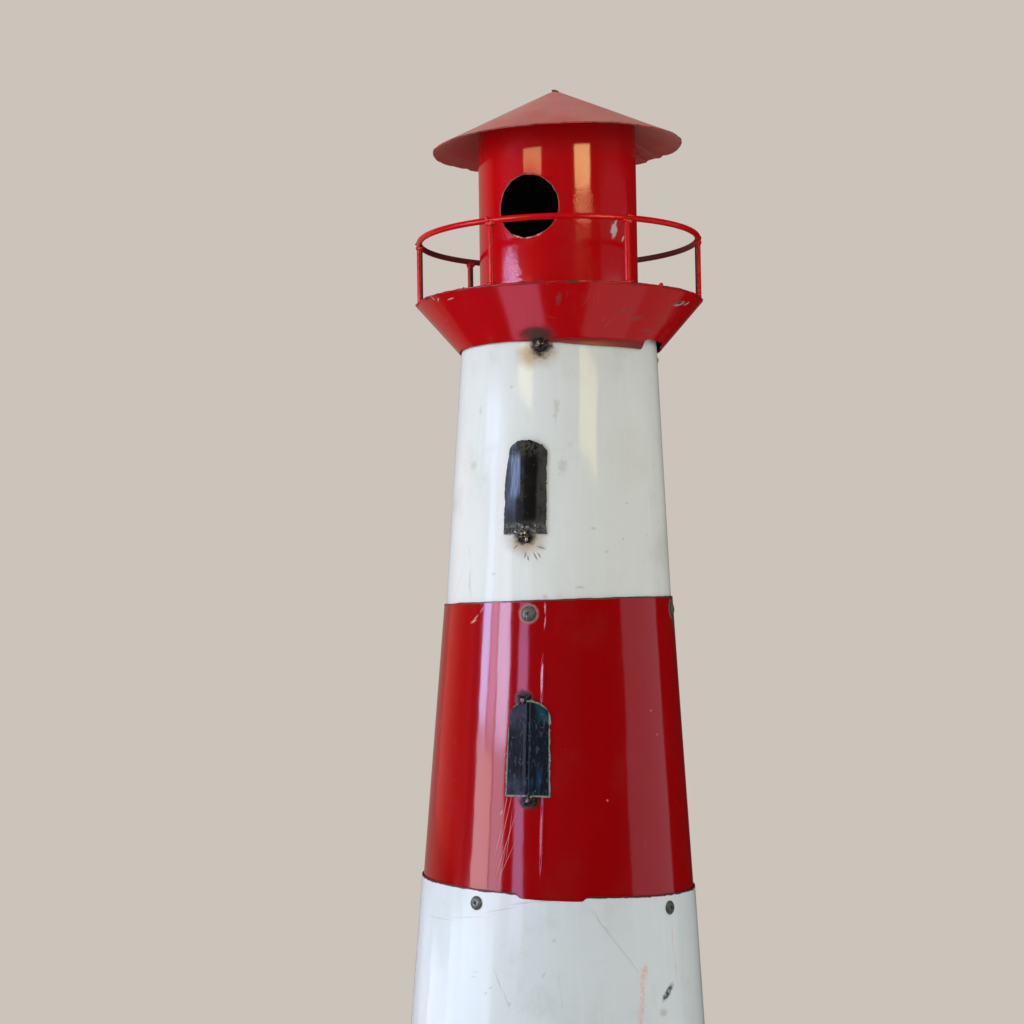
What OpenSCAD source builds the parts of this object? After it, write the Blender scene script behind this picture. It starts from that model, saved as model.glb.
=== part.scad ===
// Ornamental lighthouse, rolled from painted steel sheet, lapped and riveted.
// Millimetres, +Z up. The origin is the centre of the circle that the tower stands on.
// A turn is an angle round the tower: 0 is the front (-Y), and 90 is the right-hand side (+X).

/* [Sheet] */
// Thickness of the sheet that every rolled piece is made from
sheet = 1; // [0.6:0.1:1.5]
// Clearance between two lapped sheets
sheet_gap = 0.3; // [0.1:0.05:0.6]
// Width of the lap where a rolled sheet closes on itself
seam_w = 15; // [8:1:25]
// Turn of the closing laps, on the side away from the front
seam_turn = 150; // [120:1:240]

/* [Tower] */
// Outer radius of the upper white band at its lowest joint edge
tower_r = 95.3; // [85:0.1:100]
// Height of the lower red band, from the floor to its top edge
lower_red_h = 250; // [200:1:300]
// Height that shows of the lower white band
lower_white_h = 237.5; // [200:0.5:270]
// Height that shows of the upper red band
upper_red_h = 234; // [200:1:270]
// Height that shows of the upper white band, up to the gallery deck
upper_white_h = 252.5; // [240:0.5:300]
// Height by which each band runs down inside the band below it
lap = 22; // [20:1:30]
// Lean of the upper white band's wall, in degrees
upper_white_lean = 3.2; // [1:0.1:5]
// Lean of the upper red band's wall, in degrees
upper_red_lean = 4.1; // [2:0.1:6]
// Lean of the lower white band's wall, in degrees
lower_white_lean = 4; // [2:0.1:6]
// Lean of the lower red band's wall, in degrees
lower_red_lean = 4.2; // [2:0.1:6]
// Tilt of the upper red band's hand-cut top edge, in degrees
upper_red_tilt = 2.2; // [0:0.1:3]
// Turn of the side where that edge is lowest
upper_red_low = -68; // [-180:1:180]
// Tilt of the lower white band's hand-cut top edge, in degrees
lower_white_tilt = 2.1; // [0:0.1:3]
// Turn of the side where that edge is lowest
lower_white_low = 112; // [-180:1:180]
// Width of the cut-out in the front of the lower white band's top edge
dip_w = 60; // [30:1:90]
// Depth of that cut-out
dip_depth = 4; // [2:0.5:6]
// Turn of its middle
dip_turn = 18; // [-60:1:60]

/* [Rivets] */
// Radius of a rivet's head
rivet_head_r = 5.5; // [4:0.1:7]
// Height of a rivet's head
rivet_head_h = 2; // [1:0.1:3]
// Radius of a rivet's shank
rivet_shank_r = 2.4; // [1.6:0.1:3]
// Clearance round the shank in its holes
rivet_gap = 0.05; // [0.02:0.01:0.1]
// Distance from a band's top edge down to its rivets
rivet_drop = 11; // [9:0.5:13]
// Turn of each rivet in the upper joint, drilled by eye
upper_rivet_turns = [8, 98, 188, 278]; // [-90:0.5:315]
// Turn of each rivet in the middle joint
middle_rivet_turns = [-12, 73.5, 166, 256]; // [-90:0.5:315]
// Turn of each rivet in the lower joint
lower_rivet_turns = [30, 120, 210, 300]; // [-90:0.5:315]

/* [Windows] */
// Width of a window plate at its foot
window_w = 37; // [28:0.5:44]
// Width of a window plate at its shoulders
window_shoulder_w = 34; // [24:0.5:40]
// Height of a window plate
window_h = 77; // [60:1:100]
// Rise of its arched top above the shoulders
window_crown = 13; // [6:0.5:16]
// Clearance between a plate's long edges and the tower
window_gap = 0.2; // [0.1:0.05:0.5]
// Height of the upper plate's foot above the floor
upper_window_z = 774; // [740:1:840]
// Turn of the upper plate
upper_window_turn = 4.9; // [-30:0.1:30]
// Radius that the upper plate is bent to
window_bend_r = 46; // [36:1:70]
// Height of the lower plate's foot above the floor
lower_window_z = 564; // [520:1:620]
// Turn of the lower plate
lower_window_turn = 9.2; // [-30:0.1:30]
// Angle that each half of the lower plate is folded back, in degrees
window_fold = 12; // [9:0.5:20]

/* [Gallery] */
// Radius of the gallery deck
deck_r = 122; // [110:1:135]
// Lean of everything above the tower, in degrees
gallery_lean = 1.1; // [0:0.1:2]
// Turn of the side that the top leans to
lean_turn = -68; // [-180:1:180]
// Height of the flared skirt under the deck
skirt_h = 41; // [30:1:55]
// Least clearance between the skirt's foot and the tower
skirt_gap = 0.3; // [0.2:0.1:1]
// Height by which the skirt's foot is cut away in its notch
notch_h = 3.3; // [2:0.1:6]
// Width of that notch, in degrees
notch_angle = 27; // [10:1:45]
// Turn of the notch's middle
notch_turn = 89; // [60:1:120]
// Radius of the rail's rod
rod_r = 2.5; // [2:0.1:4]
// Height of the rail's centre line above the deck
rail_h = 52.6; // [40:0.1:70]
// Distance from the deck's edge in to the rail's centre line
rail_inset = 3; // [2.5:0.1:6]
// Clearance between the ring and a post's notched head
rail_gap = 0.05; // [0.04:0.01:0.2]
// Turn of each rail post, set out by eye
post_turns = [-68, -5, 50, 112, 172, 244]; // [-90:1:270]

/* [Lantern and roof] */
// Outer radius of the lantern drum
drum_r = 67.5; // [55:0.5:75]
// Height of the drum's wall
drum_h = 151; // [130:1:170]
// Radius of the porthole
porthole_r = 26.5; // [18:0.5:32]
// Height of the porthole's centre above the deck
porthole_z = 72.5; // [60:0.5:85]
// Turn of the porthole
porthole_turn = 0; // [-20:1:20]
// Radius of the roof's rim
roof_r = 107; // [90:1:115]
// Pitch of the roof, in degrees
roof_pitch = 25.4; // [20:0.1:35]
// Lean of the roof on its drum, in degrees
roof_lean = 1.8; // [0:0.1:2]
// Turn of the side that the roof leans to
roof_low = -29; // [-180:1:180]
// Clearance between the drum's top and the roof
roof_gap = 0.2; // [0.1:0.05:0.5]

/* [Welds] */
// Radius of a weld tack
tack_r = 5.5; // [4:0.1:7]
// Tacks that hold the skirt to the tower
tack_count = 3; // [3:1:6]
// Turn of the first of them
tack_turn = 11.8; // [0:0.1:60]

/* [Hidden] */
$fn = 96;
SMALL_FN = 32;
BEAD_STEP = 15;           // angle of each step round a weld bead's side
CUT = 10;                 // how far a cutter reaches past what it cuts
BEYOND = 2 * deck_r;      // reach of the cutters that trim a whole edge
RED = [0.65, 0.03, 0.03];
WHITE = [0.8, 0.81, 0.79];
BARE = [0.3, 0.31, 0.3];
SOOT = [0.09, 0.1, 0.11];

// The bands run from the top down: upper white, upper red, lower white, lower red
HEIGHTS = [upper_white_h, upper_red_h, lower_white_h, lower_red_h];
UPPER_WHITE = 0;
UPPER_RED = UPPER_WHITE + 1;
LOWER_WHITE = UPPER_RED + 1;
LOWER_RED = len(HEIGHTS) - 1;
JOINTS = ["upper", "middle", "lower"];
RIVET_TURNS = [upper_rivet_turns, middle_rivet_turns, lower_rivet_turns];
rivet_count = len(upper_rivet_turns);
LEANS = [upper_white_lean, upper_red_lean, lower_white_lean, lower_red_lean];
TILTS = [gallery_lean, upper_red_tilt, lower_white_tilt, 0];
LOWS = [lean_turn, upper_red_low, lower_white_low, 0];

function top_z(band) = band == LOWER_RED ? lower_red_h : top_z(band + 1) + HEIGHTS[band];
function foot_z(band) = band == LOWER_RED ? 0 : top_z(band + 1) - lap;

// A band's wall is a cone. It clears the band above at both ends of their lap.
function wall_slope(band) = tan(LEANS[band]);
function edge_rise(band) = deck_r * tan(TILTS[band]);
function seat_r(band, z) = outer_r(band - 1, z) - (top_z(band) - z) * wall_slope(band);
function top_r(band) = sheet_gap + sheet
    + max(seat_r(band, top_z(band) + edge_rise(band)), seat_r(band, foot_z(band - 1)));
function outer_r(band, z) = band == UPPER_WHITE
    ? tower_r + (top_z(UPPER_RED) - z) * wall_slope(band)
    : top_r(band) + (top_z(band) - z) * wall_slope(band);

// Height of a band's tilted top edge at a turn
function edge_z(band, turn) =
    top_z(band) - outer_r(band, top_z(band)) * tan(TILTS[band]) * cos(turn - LOWS[band]);

deck_z = top_z(UPPER_WHITE);
skirt_z = deck_z - skirt_h;
skirt_foot_r = outer_r(UPPER_WHITE, skirt_z - edge_rise(UPPER_WHITE)) + skirt_gap
    + skirt_h * sin(gallery_lean);
skirt_flare = atan((deck_r - sheet - skirt_foot_r) / skirt_h);
skirt_wall = sheet / cos(skirt_flare);
drum_z = deck_z + sheet;
rail_z = drum_z + rail_h;
rail_r = deck_r - rail_inset;
roof_wall = sheet / cos(roof_pitch);
roof_inner_z = drum_z + drum_h + roof_gap + drum_r * tan(roof_pitch);
roof_pivot_z = drum_z + drum_h;

// Leans its children over towards one turn, about a point on the axis
module leaned(angle, low, z) {
    translate([0, 0, z])
        rotate([0, 0, low]) rotate([angle, 0, 0]) rotate([0, 0, -low])
            translate([0, 0, -z]) children();
}

module on_gallery() {
    leaned(gallery_lean, lean_turn, deck_z) children();
}

module on_drum() {
    on_gallery() leaned(roof_lean, roof_low, roof_pivot_z) children();
}

// A slice of a turned shape, centred on one turn
module sector(turn, width) {
    rotate([0, 0, turn - 90 - width / 2]) rotate_extrude(angle = width) children();
}

function seam_angle(r) = 2 * asin(seam_w / 2 / r);

// Outline of a leaning wall between two heights, from one depth of the sheet to another
module wall_outline(band, low_z, high_z, inner, outer) {
    low_r = outer_r(band, low_z);
    high_r = outer_r(band, high_z);
    polygon([[low_r - inner, low_z], [low_r + outer, low_z],
             [high_r + outer, high_z], [high_r - inner, high_z]]);
}

// Everything inside a band's outer face
module band_core(band) {
    rotate_extrude() {
        low = foot_z(band) - CUT;
        high = top_z(band) + CUT;
        polygon([[0, low], [outer_r(band, low), low], [outer_r(band, high), high], [0, high]]);
    }
}

// Frame on a band's wall: X along the wall, Y up it and Z straight out of it
module on_wall(band, turn, z) {
    rotate([0, 0, turn]) translate([0, -outer_r(band, z), z])
        rotate([90 - LEANS[band], 0, 0]) children();
}

function rivet_turn(joint, i) = RIVET_TURNS[joint][i - 1];
function rivet_z(joint, i) = edge_z(joint + 1, rivet_turn(joint, i)) - rivet_drop;
function grip(joint, z) = outer_r(joint + 1, z) - outer_r(joint, z) + sheet;

module rivet_holes(joint) {
    for (i = [1:rivet_count])
        on_wall(joint + 1, rivet_turn(joint, i), rivet_z(joint, i))
            cylinder(h = 2 * CUT, r = rivet_shank_r + rivet_gap, center = true, $fn = SMALL_FN);
}

// A rolled band: its wall, the closing lap on it, its trimmed top edge and its rivet holes
module band(band) {
    high = top_z(band) + edge_rise(band) + CUT;
    seam_foot = band == LOWER_RED ? 0 : top_z(band + 1) + edge_rise(band + 1);
    seam_head = band == UPPER_WHITE ? skirt_z - edge_rise(band) : high;
    difference() {
        union() {
            rotate_extrude() wall_outline(band, foot_z(band), high, sheet, 0);
            sector(seam_turn, seam_angle(outer_r(band, top_z(band))))
                wall_outline(band, seam_foot, seam_head, sheet / 2, sheet);
        }
        leaned(TILTS[band], LOWS[band], top_z(band))
            translate([0, 0, top_z(band)]) cylinder(h = BEYOND, r = BEYOND);
        if (band != UPPER_WHITE) rivet_holes(band - 1);
        if (band != LOWER_RED) rivet_holes(band);
        if (band == LOWER_WHITE) edge_dip();
    }
}

// The shallow cut-out in the front of the lower white band's top edge
module edge_dip() {
    on_wall(LOWER_WHITE, dip_turn, edge_z(LOWER_WHITE, dip_turn))
        translate([0, 0, -CUT]) linear_extrude(2 * CUT)
            polygon([[-dip_w / 2, -dip_depth], [dip_w / 2, -dip_depth],
                     [dip_w / 2 + CUT, CUT], [-dip_w / 2 - CUT, CUT]]);
}

module upper_white_band() { color(WHITE) band(UPPER_WHITE); }
module upper_red_band() { color(RED) band(UPPER_RED); }
module lower_white_band() { color(WHITE) band(LOWER_WHITE); }
module lower_red_band() { color(RED) band(LOWER_RED); }

// A blind rivet: domed head with the broken-off pin's dimple, shank, and bulb inside
module rivet(joint, i) {
    z = rivet_z(joint, i);
    depth = grip(joint, z) + sheet_gap;
    dimple_r = rivet_head_r / 4;
    bulb_r = rivet_shank_r * 1.3;
    color(BARE) on_wall(joint + 1, rivet_turn(joint, i), z) translate([0, 0, rivet_gap])
        rotate_extrude($fn = SMALL_FN)
            polygon([[0, -depth - rivet_shank_r * 2], [bulb_r, -depth - rivet_shank_r * 2],
                     [bulb_r, -depth], [rivet_shank_r, -depth], [rivet_shank_r, 0],
                     [rivet_head_r, 0], [rivet_head_r, rivet_head_h / 4],
                     [rivet_head_r * 0.85, rivet_head_h * 0.65],
                     [rivet_head_r * 0.6, rivet_head_h * 0.92],
                     [dimple_r, rivet_head_h], [dimple_r, rivet_head_h / 3],
                     [0, rivet_head_h / 3]]);
}

// Outline of a window plate with its foot on the X axis
module window_outline() {
    arch_r = (pow(window_shoulder_w / 2, 2) + pow(window_crown, 2)) / (2 * window_crown);
    shoulder = window_h - window_crown;
    splay = (window_w - window_shoulder_w) / 2 * window_crown / shoulder;
    intersection() {
        polygon([[-window_w / 2, 0], [window_w / 2, 0],
                 [window_shoulder_w / 2 - splay, window_h],
                 [-window_shoulder_w / 2 + splay, window_h]]);
        union() {
            translate([0, window_h - arch_r]) circle(arch_r);
            translate([-window_w, 0]) square([2 * window_w, shoulder]);
        }
    }
}

// How far a band's wall falls back from its tangent plane under a plate's edge
function fall(band, z) =
    outer_r(band, z) - sqrt(pow(outer_r(band, z), 2) - pow(window_w / 2, 2));

module upper_window_plate() {
    inner_r = window_bend_r - sheet;
    axis_z = window_gap - fall(UPPER_WHITE, upper_window_z + window_h / 2)
        - sqrt(pow(inner_r, 2) - pow(window_w / 2, 2));
    color(SOOT) on_wall(UPPER_WHITE, upper_window_turn, upper_window_z)
        intersection() {
            linear_extrude(2 * CUT, center = true) window_outline();
            translate([0, -CUT, axis_z]) rotate([-90, 0, 0]) difference() {
                cylinder(h = window_h + 2 * CUT, r = window_bend_r);
                translate([0, 0, -CUT]) cylinder(h = window_h + 4 * CUT, r = inner_r);
            }
        }
}

module lower_window_plate() {
    drop = window_w / 2 * tan(window_fold);
    edge = window_gap - fall(UPPER_RED, lower_window_z + window_h / 2);
    thick = sheet / cos(window_fold);
    color(SOOT) on_wall(UPPER_RED, lower_window_turn, lower_window_z)
        intersection() {
            linear_extrude(2 * CUT, center = true) window_outline();
            translate([0, window_h + CUT, 0]) rotate([90, 0, 0])
                linear_extrude(window_h + 2 * CUT)
                    polygon([[-window_w / 2, edge], [0, edge + drop], [window_w / 2, edge],
                             [window_w / 2, edge + thick], [0, edge + drop + thick],
                             [-window_w / 2, edge + thick]]);
        }
}

// A bead of weld: a half ball under the flat that meets the edge it holds
module bead() {
    rotate_extrude()
        polygon(concat([[0, 0]], [for (a = [-90:BEAD_STEP:0]) tack_r * [cos(a), sin(a)]]));
}

// A tack on a band's wall, under an edge, or over it where side is -1
module tack(band, turn, z, up, side) {
    color(BARE) difference() {
        on_wall(band, turn, z) translate([0, up, sheet]) rotate([-90 * side, 0, 0]) bead();
        band_core(band);
    }
}

module upper_window_tack() { tack(UPPER_WHITE, upper_window_turn, upper_window_z, 0, 1); }
module lower_window_tack_foot() { tack(UPPER_RED, lower_window_turn, lower_window_z, 0, 1); }
module lower_window_tack_top() { tack(UPPER_RED, lower_window_turn, lower_window_z, window_h, -1); }

module skirt_tack(i) {
    color(BARE) difference() {
        on_gallery() rotate([0, 0, tack_turn + (i - 1) * 360 / tack_count])
            translate([0, -skirt_foot_r, skirt_z]) bead();
        band_core(UPPER_WHITE);
    }
}

// Outline of the flared skirt, from one depth of the sheet to another
module skirt_outline(inner, outer) {
    polygon([[skirt_foot_r + inner, skirt_z], [skirt_foot_r + outer, skirt_z],
             [deck_r - skirt_wall + outer, deck_z], [deck_r - skirt_wall + inner, deck_z]]);
}

module gallery_skirt() {
    color(RED) on_gallery() difference() {
        rotate_extrude() skirt_outline(0, skirt_wall);
        sector(notch_turn, notch_angle)
            translate([skirt_foot_r - CUT, skirt_z - CUT]) square([2 * CUT, CUT + notch_h]);
    }
}

module gallery_deck() {
    color(RED) on_gallery() translate([0, 0, deck_z]) cylinder(h = sheet, r = deck_r);
}

module rail_ring() {
    color(RED) on_gallery() translate([0, 0, rail_z])
        rotate_extrude() translate([rail_r, 0]) circle(rod_r, $fn = SMALL_FN);
}

// A post stands on the deck, and its head is notched to the ring that it carries
module rail_post(i) {
    color(RED) on_gallery() rotate([0, 0, post_turns[i - 1]]) translate([0, -rail_r, 0])
        difference() {
            translate([0, 0, drum_z]) cylinder(h = rail_h, r = rod_r, $fn = SMALL_FN);
            translate([0, 0, rail_z]) rotate([0, 90, 0])
                cylinder(h = 4 * rod_r, r = rod_r + rail_gap, center = true, $fn = SMALL_FN);
        }
}

// Everything under the roof's inner face
module roof_core(gap) {
    top = roof_inner_z - gap;
    on_drum() rotate_extrude()
        polygon([[0, deck_z], [deck_r, deck_z], [deck_r, top - deck_r * tan(roof_pitch)],
                 [0, top]]);
}

module lantern_drum() {
    color(RED) difference() {
        intersection() {
            on_gallery() union() {
                rotate_extrude() translate([drum_r - sheet, drum_z])
                    square([sheet, drum_h + BEYOND / 4]);
                sector(seam_turn, seam_angle(drum_r)) translate([drum_r - sheet / 2, drum_z])
                    square([sheet * 1.5, drum_h + BEYOND / 4]);
            }
            roof_core(roof_gap);
        }
        on_gallery() rotate([0, 0, porthole_turn]) translate([0, 0, drum_z + porthole_z])
            rotate([90, 0, 0]) cylinder(h = drum_r + CUT, r = porthole_r);
    }
}

// Outline of the roof's sheet, from one depth of it to another, square at the rim
module roof_outline(inner, outer) {
    fall = roof_r * tan(roof_pitch);
    out_x = sin(roof_pitch);
    out_z = cos(roof_pitch);
    rim = [roof_r, roof_inner_z + roof_wall - fall];
    polygon([[0, rim[1] + fall - inner * roof_wall],
             [rim[0] - inner * sheet * out_x, rim[1] - inner * sheet * out_z],
             [rim[0] + outer * sheet * out_x, rim[1] + outer * sheet * out_z],
             [0, rim[1] + fall + outer * roof_wall]]);
}

module roof_cone() {
    color(RED) on_drum() union() {
        rotate_extrude() roof_outline(1, 0);
        sector(seam_turn, seam_angle(roof_r)) roof_outline(0.5, 1);
    }
}

roof_cone();
lantern_drum();
gallery_deck();
gallery_skirt();
rail_ring();
for (i = [1:len(post_turns)])
    rail_post(i);
upper_white_band();
upper_red_band();
lower_white_band();
lower_red_band();
upper_window_plate();
lower_window_plate();
for (joint = [0:len(JOINTS) - 1], i = [1:rivet_count])
    rivet(joint, i);
for (i = [1:tack_count])
    skirt_tack(i);
upper_window_tack();
lower_window_tack_foot();
lower_window_tack_top();
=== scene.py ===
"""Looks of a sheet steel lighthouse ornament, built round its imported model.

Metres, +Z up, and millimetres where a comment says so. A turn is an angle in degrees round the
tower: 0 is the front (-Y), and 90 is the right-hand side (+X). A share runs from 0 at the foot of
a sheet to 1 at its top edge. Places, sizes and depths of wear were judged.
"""

import math

import bmesh
import bpy
from mathutils import Matrix, Vector, noise


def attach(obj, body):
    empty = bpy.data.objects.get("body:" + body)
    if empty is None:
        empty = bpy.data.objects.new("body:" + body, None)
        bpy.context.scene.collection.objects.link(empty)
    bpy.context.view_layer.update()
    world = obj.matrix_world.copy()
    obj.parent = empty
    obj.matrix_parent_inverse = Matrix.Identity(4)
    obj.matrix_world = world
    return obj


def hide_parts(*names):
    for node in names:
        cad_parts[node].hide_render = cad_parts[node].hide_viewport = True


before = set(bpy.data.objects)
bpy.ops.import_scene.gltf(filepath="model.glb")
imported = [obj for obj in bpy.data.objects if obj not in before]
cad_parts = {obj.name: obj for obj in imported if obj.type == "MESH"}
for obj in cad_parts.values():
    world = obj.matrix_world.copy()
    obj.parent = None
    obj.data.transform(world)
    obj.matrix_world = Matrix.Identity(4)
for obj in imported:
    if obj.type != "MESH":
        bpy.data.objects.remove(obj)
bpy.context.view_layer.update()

bl_info = {
    "name": "Sheet Steel Lighthouse",
    "version": (1, 0, 0),
    "blender": (4, 5, 0),
    "location": "View3D > Sidebar > Lighthouse",
    "description": "Dresses a rolled and riveted lighthouse ornament in paint, welds and wear",
    "category": "Object",
}

MM = 0.001
SHEET = 1 * MM
SEAM_TURN = 150                 # turn of the closing laps, away from the front
SEAM_WIDTH = 15 * MM
SEAM_STEP = 0.12                # degrees over which a lap's end steps down
SEAM_FADE = 4 * MM              # over which a lap sinks into the sheet at its top and foot
FLAT_FOOT = 60 * MM             # over which the lowest band runs out into an even foot
INSET = 0.03 * MM               # keeps the bands' paint inside the solids' box
COLUMNS = 360                   # faces round a rolled sheet
DECK_Z = 974 * MM
DRUM_Z = DECK_Z + SHEET
DECK_R = 122 * MM
SKIRT_Z = 933 * MM
SKIRT_FOOT_R = 86.03 * MM
SKIRT_FLARE = (DECK_R - SKIRT_FOOT_R) / (DECK_Z - SKIRT_Z)
NOTCH_TURN = 89                 # the cut-away in the skirt's foot
NOTCH_ANGLE = 27
NOTCH_HEIGHT = 3.3 * MM
NOTCH_STEP = 0.8                # degrees over which its ends rise
SKIRT_SAG = 5.2 * MM            # how far the skirt's foot hangs down beside the notch
DRUM_R = 67.5 * MM
DRUM_TOP = 1126 * MM
PORTHOLE_R = 26.5 * MM
PORTHOLE_Z = DRUM_Z + 72.5 * MM
ROOF_R = 107 * MM
ROOF_TIP_Z = 1159.36 * MM
ROOF_PITCH = 25.4
RAIL_R = 119 * MM
RAIL_Z = DRUM_Z + 52.6 * MM
POST_TURNS = (-68, -5, 50, 112, 172, 244)
SKIRT_TACK_TURNS = (11.8, 131.8, 251.8)
LEAN_TURN = -68
ROOF_LEAN_TURN = -29
VIEW_TURN = 22.3                # the side that the picture is taken from
VIEW_DISTANCE = 1785 * MM
VIEW_HEIGHT = 704.6 * MM
VIEW_UP = 2.944                 # degrees that the camera looks up
VIEW_LEFT = 1.28                # and is turned left of the tower
VIEW_ROLL = 0.2
VIEW_LENS = 73.83               # millimetres, on the sensor
VIEW_SENSOR = 36
FLOOR_R = 1.72
CEILING = 3.2                   # height and sides of the overhead light
SMOOTH_ALL = 180                # shading angle of pieces without a sharp edge


def turned(angle, axis="Z"):
    """Rotation by an angle in degrees."""
    return Matrix.Rotation(math.radians(angle), 4, axis)


def point(turn, radius, z):
    """Point at a turn and a radius round the axis."""
    angle = math.radians(turn)
    return Vector((radius * math.sin(angle), -radius * math.cos(angle), z))


def facing(turn, radius, z, tip=90):
    """Frame on a round piece: X along it, Y up it and Z out of it."""
    return turned(turn) @ Matrix.Translation((0, -radius, z)) @ turned(tip, "X")


def beside(at, x, y, z=0):
    """A frame moved along its own axes, in millimetres."""
    return at @ Matrix.Translation((x * MM, y * MM, z * MM))


def lean(angle, low, height):
    """Leans things over towards the turn low, about a height on the axis."""
    about = Matrix.Translation((0, 0, height)) @ turned(low)
    return about @ turned(angle, "X") @ about.inverted()


ON_GALLERY = lean(1.1, LEAN_TURN, DECK_Z)
ON_DRUM = ON_GALLERY @ lean(1.8, ROOF_LEAN_TURN, DRUM_TOP)


class Wall:
    """One band of the tower: a leaning wall with a tilted top edge. Sizes are in millimetres."""

    def __init__(self, foot, top, top_r, slant, tilt, low, seam_foot, seam_head):
        self.foot, self.top, self.top_r = foot * MM, top * MM, top_r * MM
        self.slant, self.tilt, self.low = slant, tilt, low
        self.seam_foot, self.seam_head = seam_foot * MM, seam_head * MM

    def radius(self, z):
        return self.top_r + (self.top - z) * math.tan(math.radians(self.slant))

    def edge(self, turn):
        rise = math.tan(math.radians(self.tilt)) * math.cos(math.radians(turn - self.low))
        return self.top - self.top_r * rise

    def at(self, turn, z):
        """Frame on the wall at a height."""
        return facing(turn, self.radius(z), z, 90 - self.slant)

    def under_edge(self, turn, depth):
        """Frame on the wall at a depth below its top edge."""
        return self.at(turn, self.edge(turn) - depth)


WALLS = {
    "upper_white": Wall(699.5, 974, 81.18, 3.2, 1.1, -68, 726.2, 930.6),
    "upper_red": Wall(465.5, 721.5, 96.67, 4.1, 2.2, -68, 492, 740),
    "lower_white": Wall(228, 487.5, 114.78, 4.0, 2.1, 112, 250, 510),
    "lower_red": Wall(0, 250, 132.69, 4.2, 0, 0, 0, 270),
}


def on_gallery(turn, radius, z, tip=90):
    return ON_GALLERY @ facing(turn, radius, z, tip)


def on_drum(turn, z):
    return on_gallery(turn, DRUM_R, z)


def on_skirt(turn, z):
    tip = 90 + math.degrees(math.atan(SKIRT_FLARE))
    return on_gallery(turn, SKIRT_FOOT_R + (z - SKIRT_Z) * SKIRT_FLARE, z, tip)


# Sizes and colours that a user would change

def colour_property(name, description, default):
    return bpy.props.FloatVectorProperty(name=name, description=description, default=default,
                                         size=3, min=0, max=1, subtype="COLOR")


def length_property(name, description, default, most):
    return bpy.props.FloatProperty(name=name, description=description, default=default,
                                   min=0, max=most, unit="LENGTH", precision=5)


def strength_property(name, description):
    return bpy.props.FloatProperty(name=name, description=description, default=1,
                                   min=0, max=5, subtype="FACTOR")


class PaintSettings(bpy.types.PropertyGroup):
    """Colours of the paint and of the bare metal."""
    red: colour_property("Red paint", "Gloss red on the bands", (0.29, 0.0, 0.0015))
    bright_red: colour_property("Lantern red", "Brighter gloss red of the gallery, rail and drum",
                                (0.5, 0.0, 0.0025))
    roof_red: colour_property("Roof paint", "Red of the roof, under its dust", (0.46, 0.035, 0.026))
    white: colour_property("White paint", "Gloss white on the upper band", (0.66, 0.68, 0.65))
    cool_white: colour_property("Lower white", "Cooler gloss white on the lower band",
                                (0.64, 0.69, 0.71))
    primer: colour_property("Chips", "Pale primer that shows where the paint is chipped",
                            (0.46, 0.45, 0.42))
    steel: colour_property("Bare steel", "Rivets and scraped sheet", (0.10, 0.112, 0.10))
    blued: colour_property("Blued steel", "Lower window plate", (0.009, 0.010, 0.017))
    # Black of burnt welds, also used as the near-black painted shade inside the lantern.
    soot_and_inner_shade: colour_property("Soot", "Burnt welds and the dark inside", (0.008, 0.007, 0.007))
    burn: colour_property("Burn", "Scorched paint round a weld", (0.36, 0.22, 0.09))
    dust: colour_property("Dust", "Dust that lies on upward faces", (0.48, 0.30, 0.25))


class SheetSettings(bpy.types.PropertyGroup):
    """Unevenness of the hand-rolled and hand-cut sheets."""
    wave: length_property("Wave", "Depth of the unevenness left by rolling", 0.16 * MM, 0.3 * MM)
    edge: length_property("Edge", "Raggedness of the bands' cut edges", 0.45 * MM, 1 * MM)
    rim: length_property("Roof rim", "Raggedness of the roof's rim", 1.6 * MM, 3 * MM)
    bite: length_property("Torch bite", "Raggedness of the torch-cut edges", 0.8 * MM, 2 * MM)


class StudioSettings(bpy.types.PropertyGroup):
    """Floor, backdrop and lights."""
    backdrop: colour_property("Backdrop", "Pale colour behind the ornament", (0.60, 0.55, 0.49))
    floor: colour_property("Floor", "Plain pale floor", (0.62, 0.59, 0.55))
    boxes: strength_property("Soft boxes", "Strength of the tall soft boxes")
    fill: strength_property("Fill light", "Strength of the overhead and surrounding light")


def paint_settings():
    return bpy.context.scene.lighthouse_paint


def sheet_settings():
    return bpy.context.scene.lighthouse_sheet


# Materials

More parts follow.
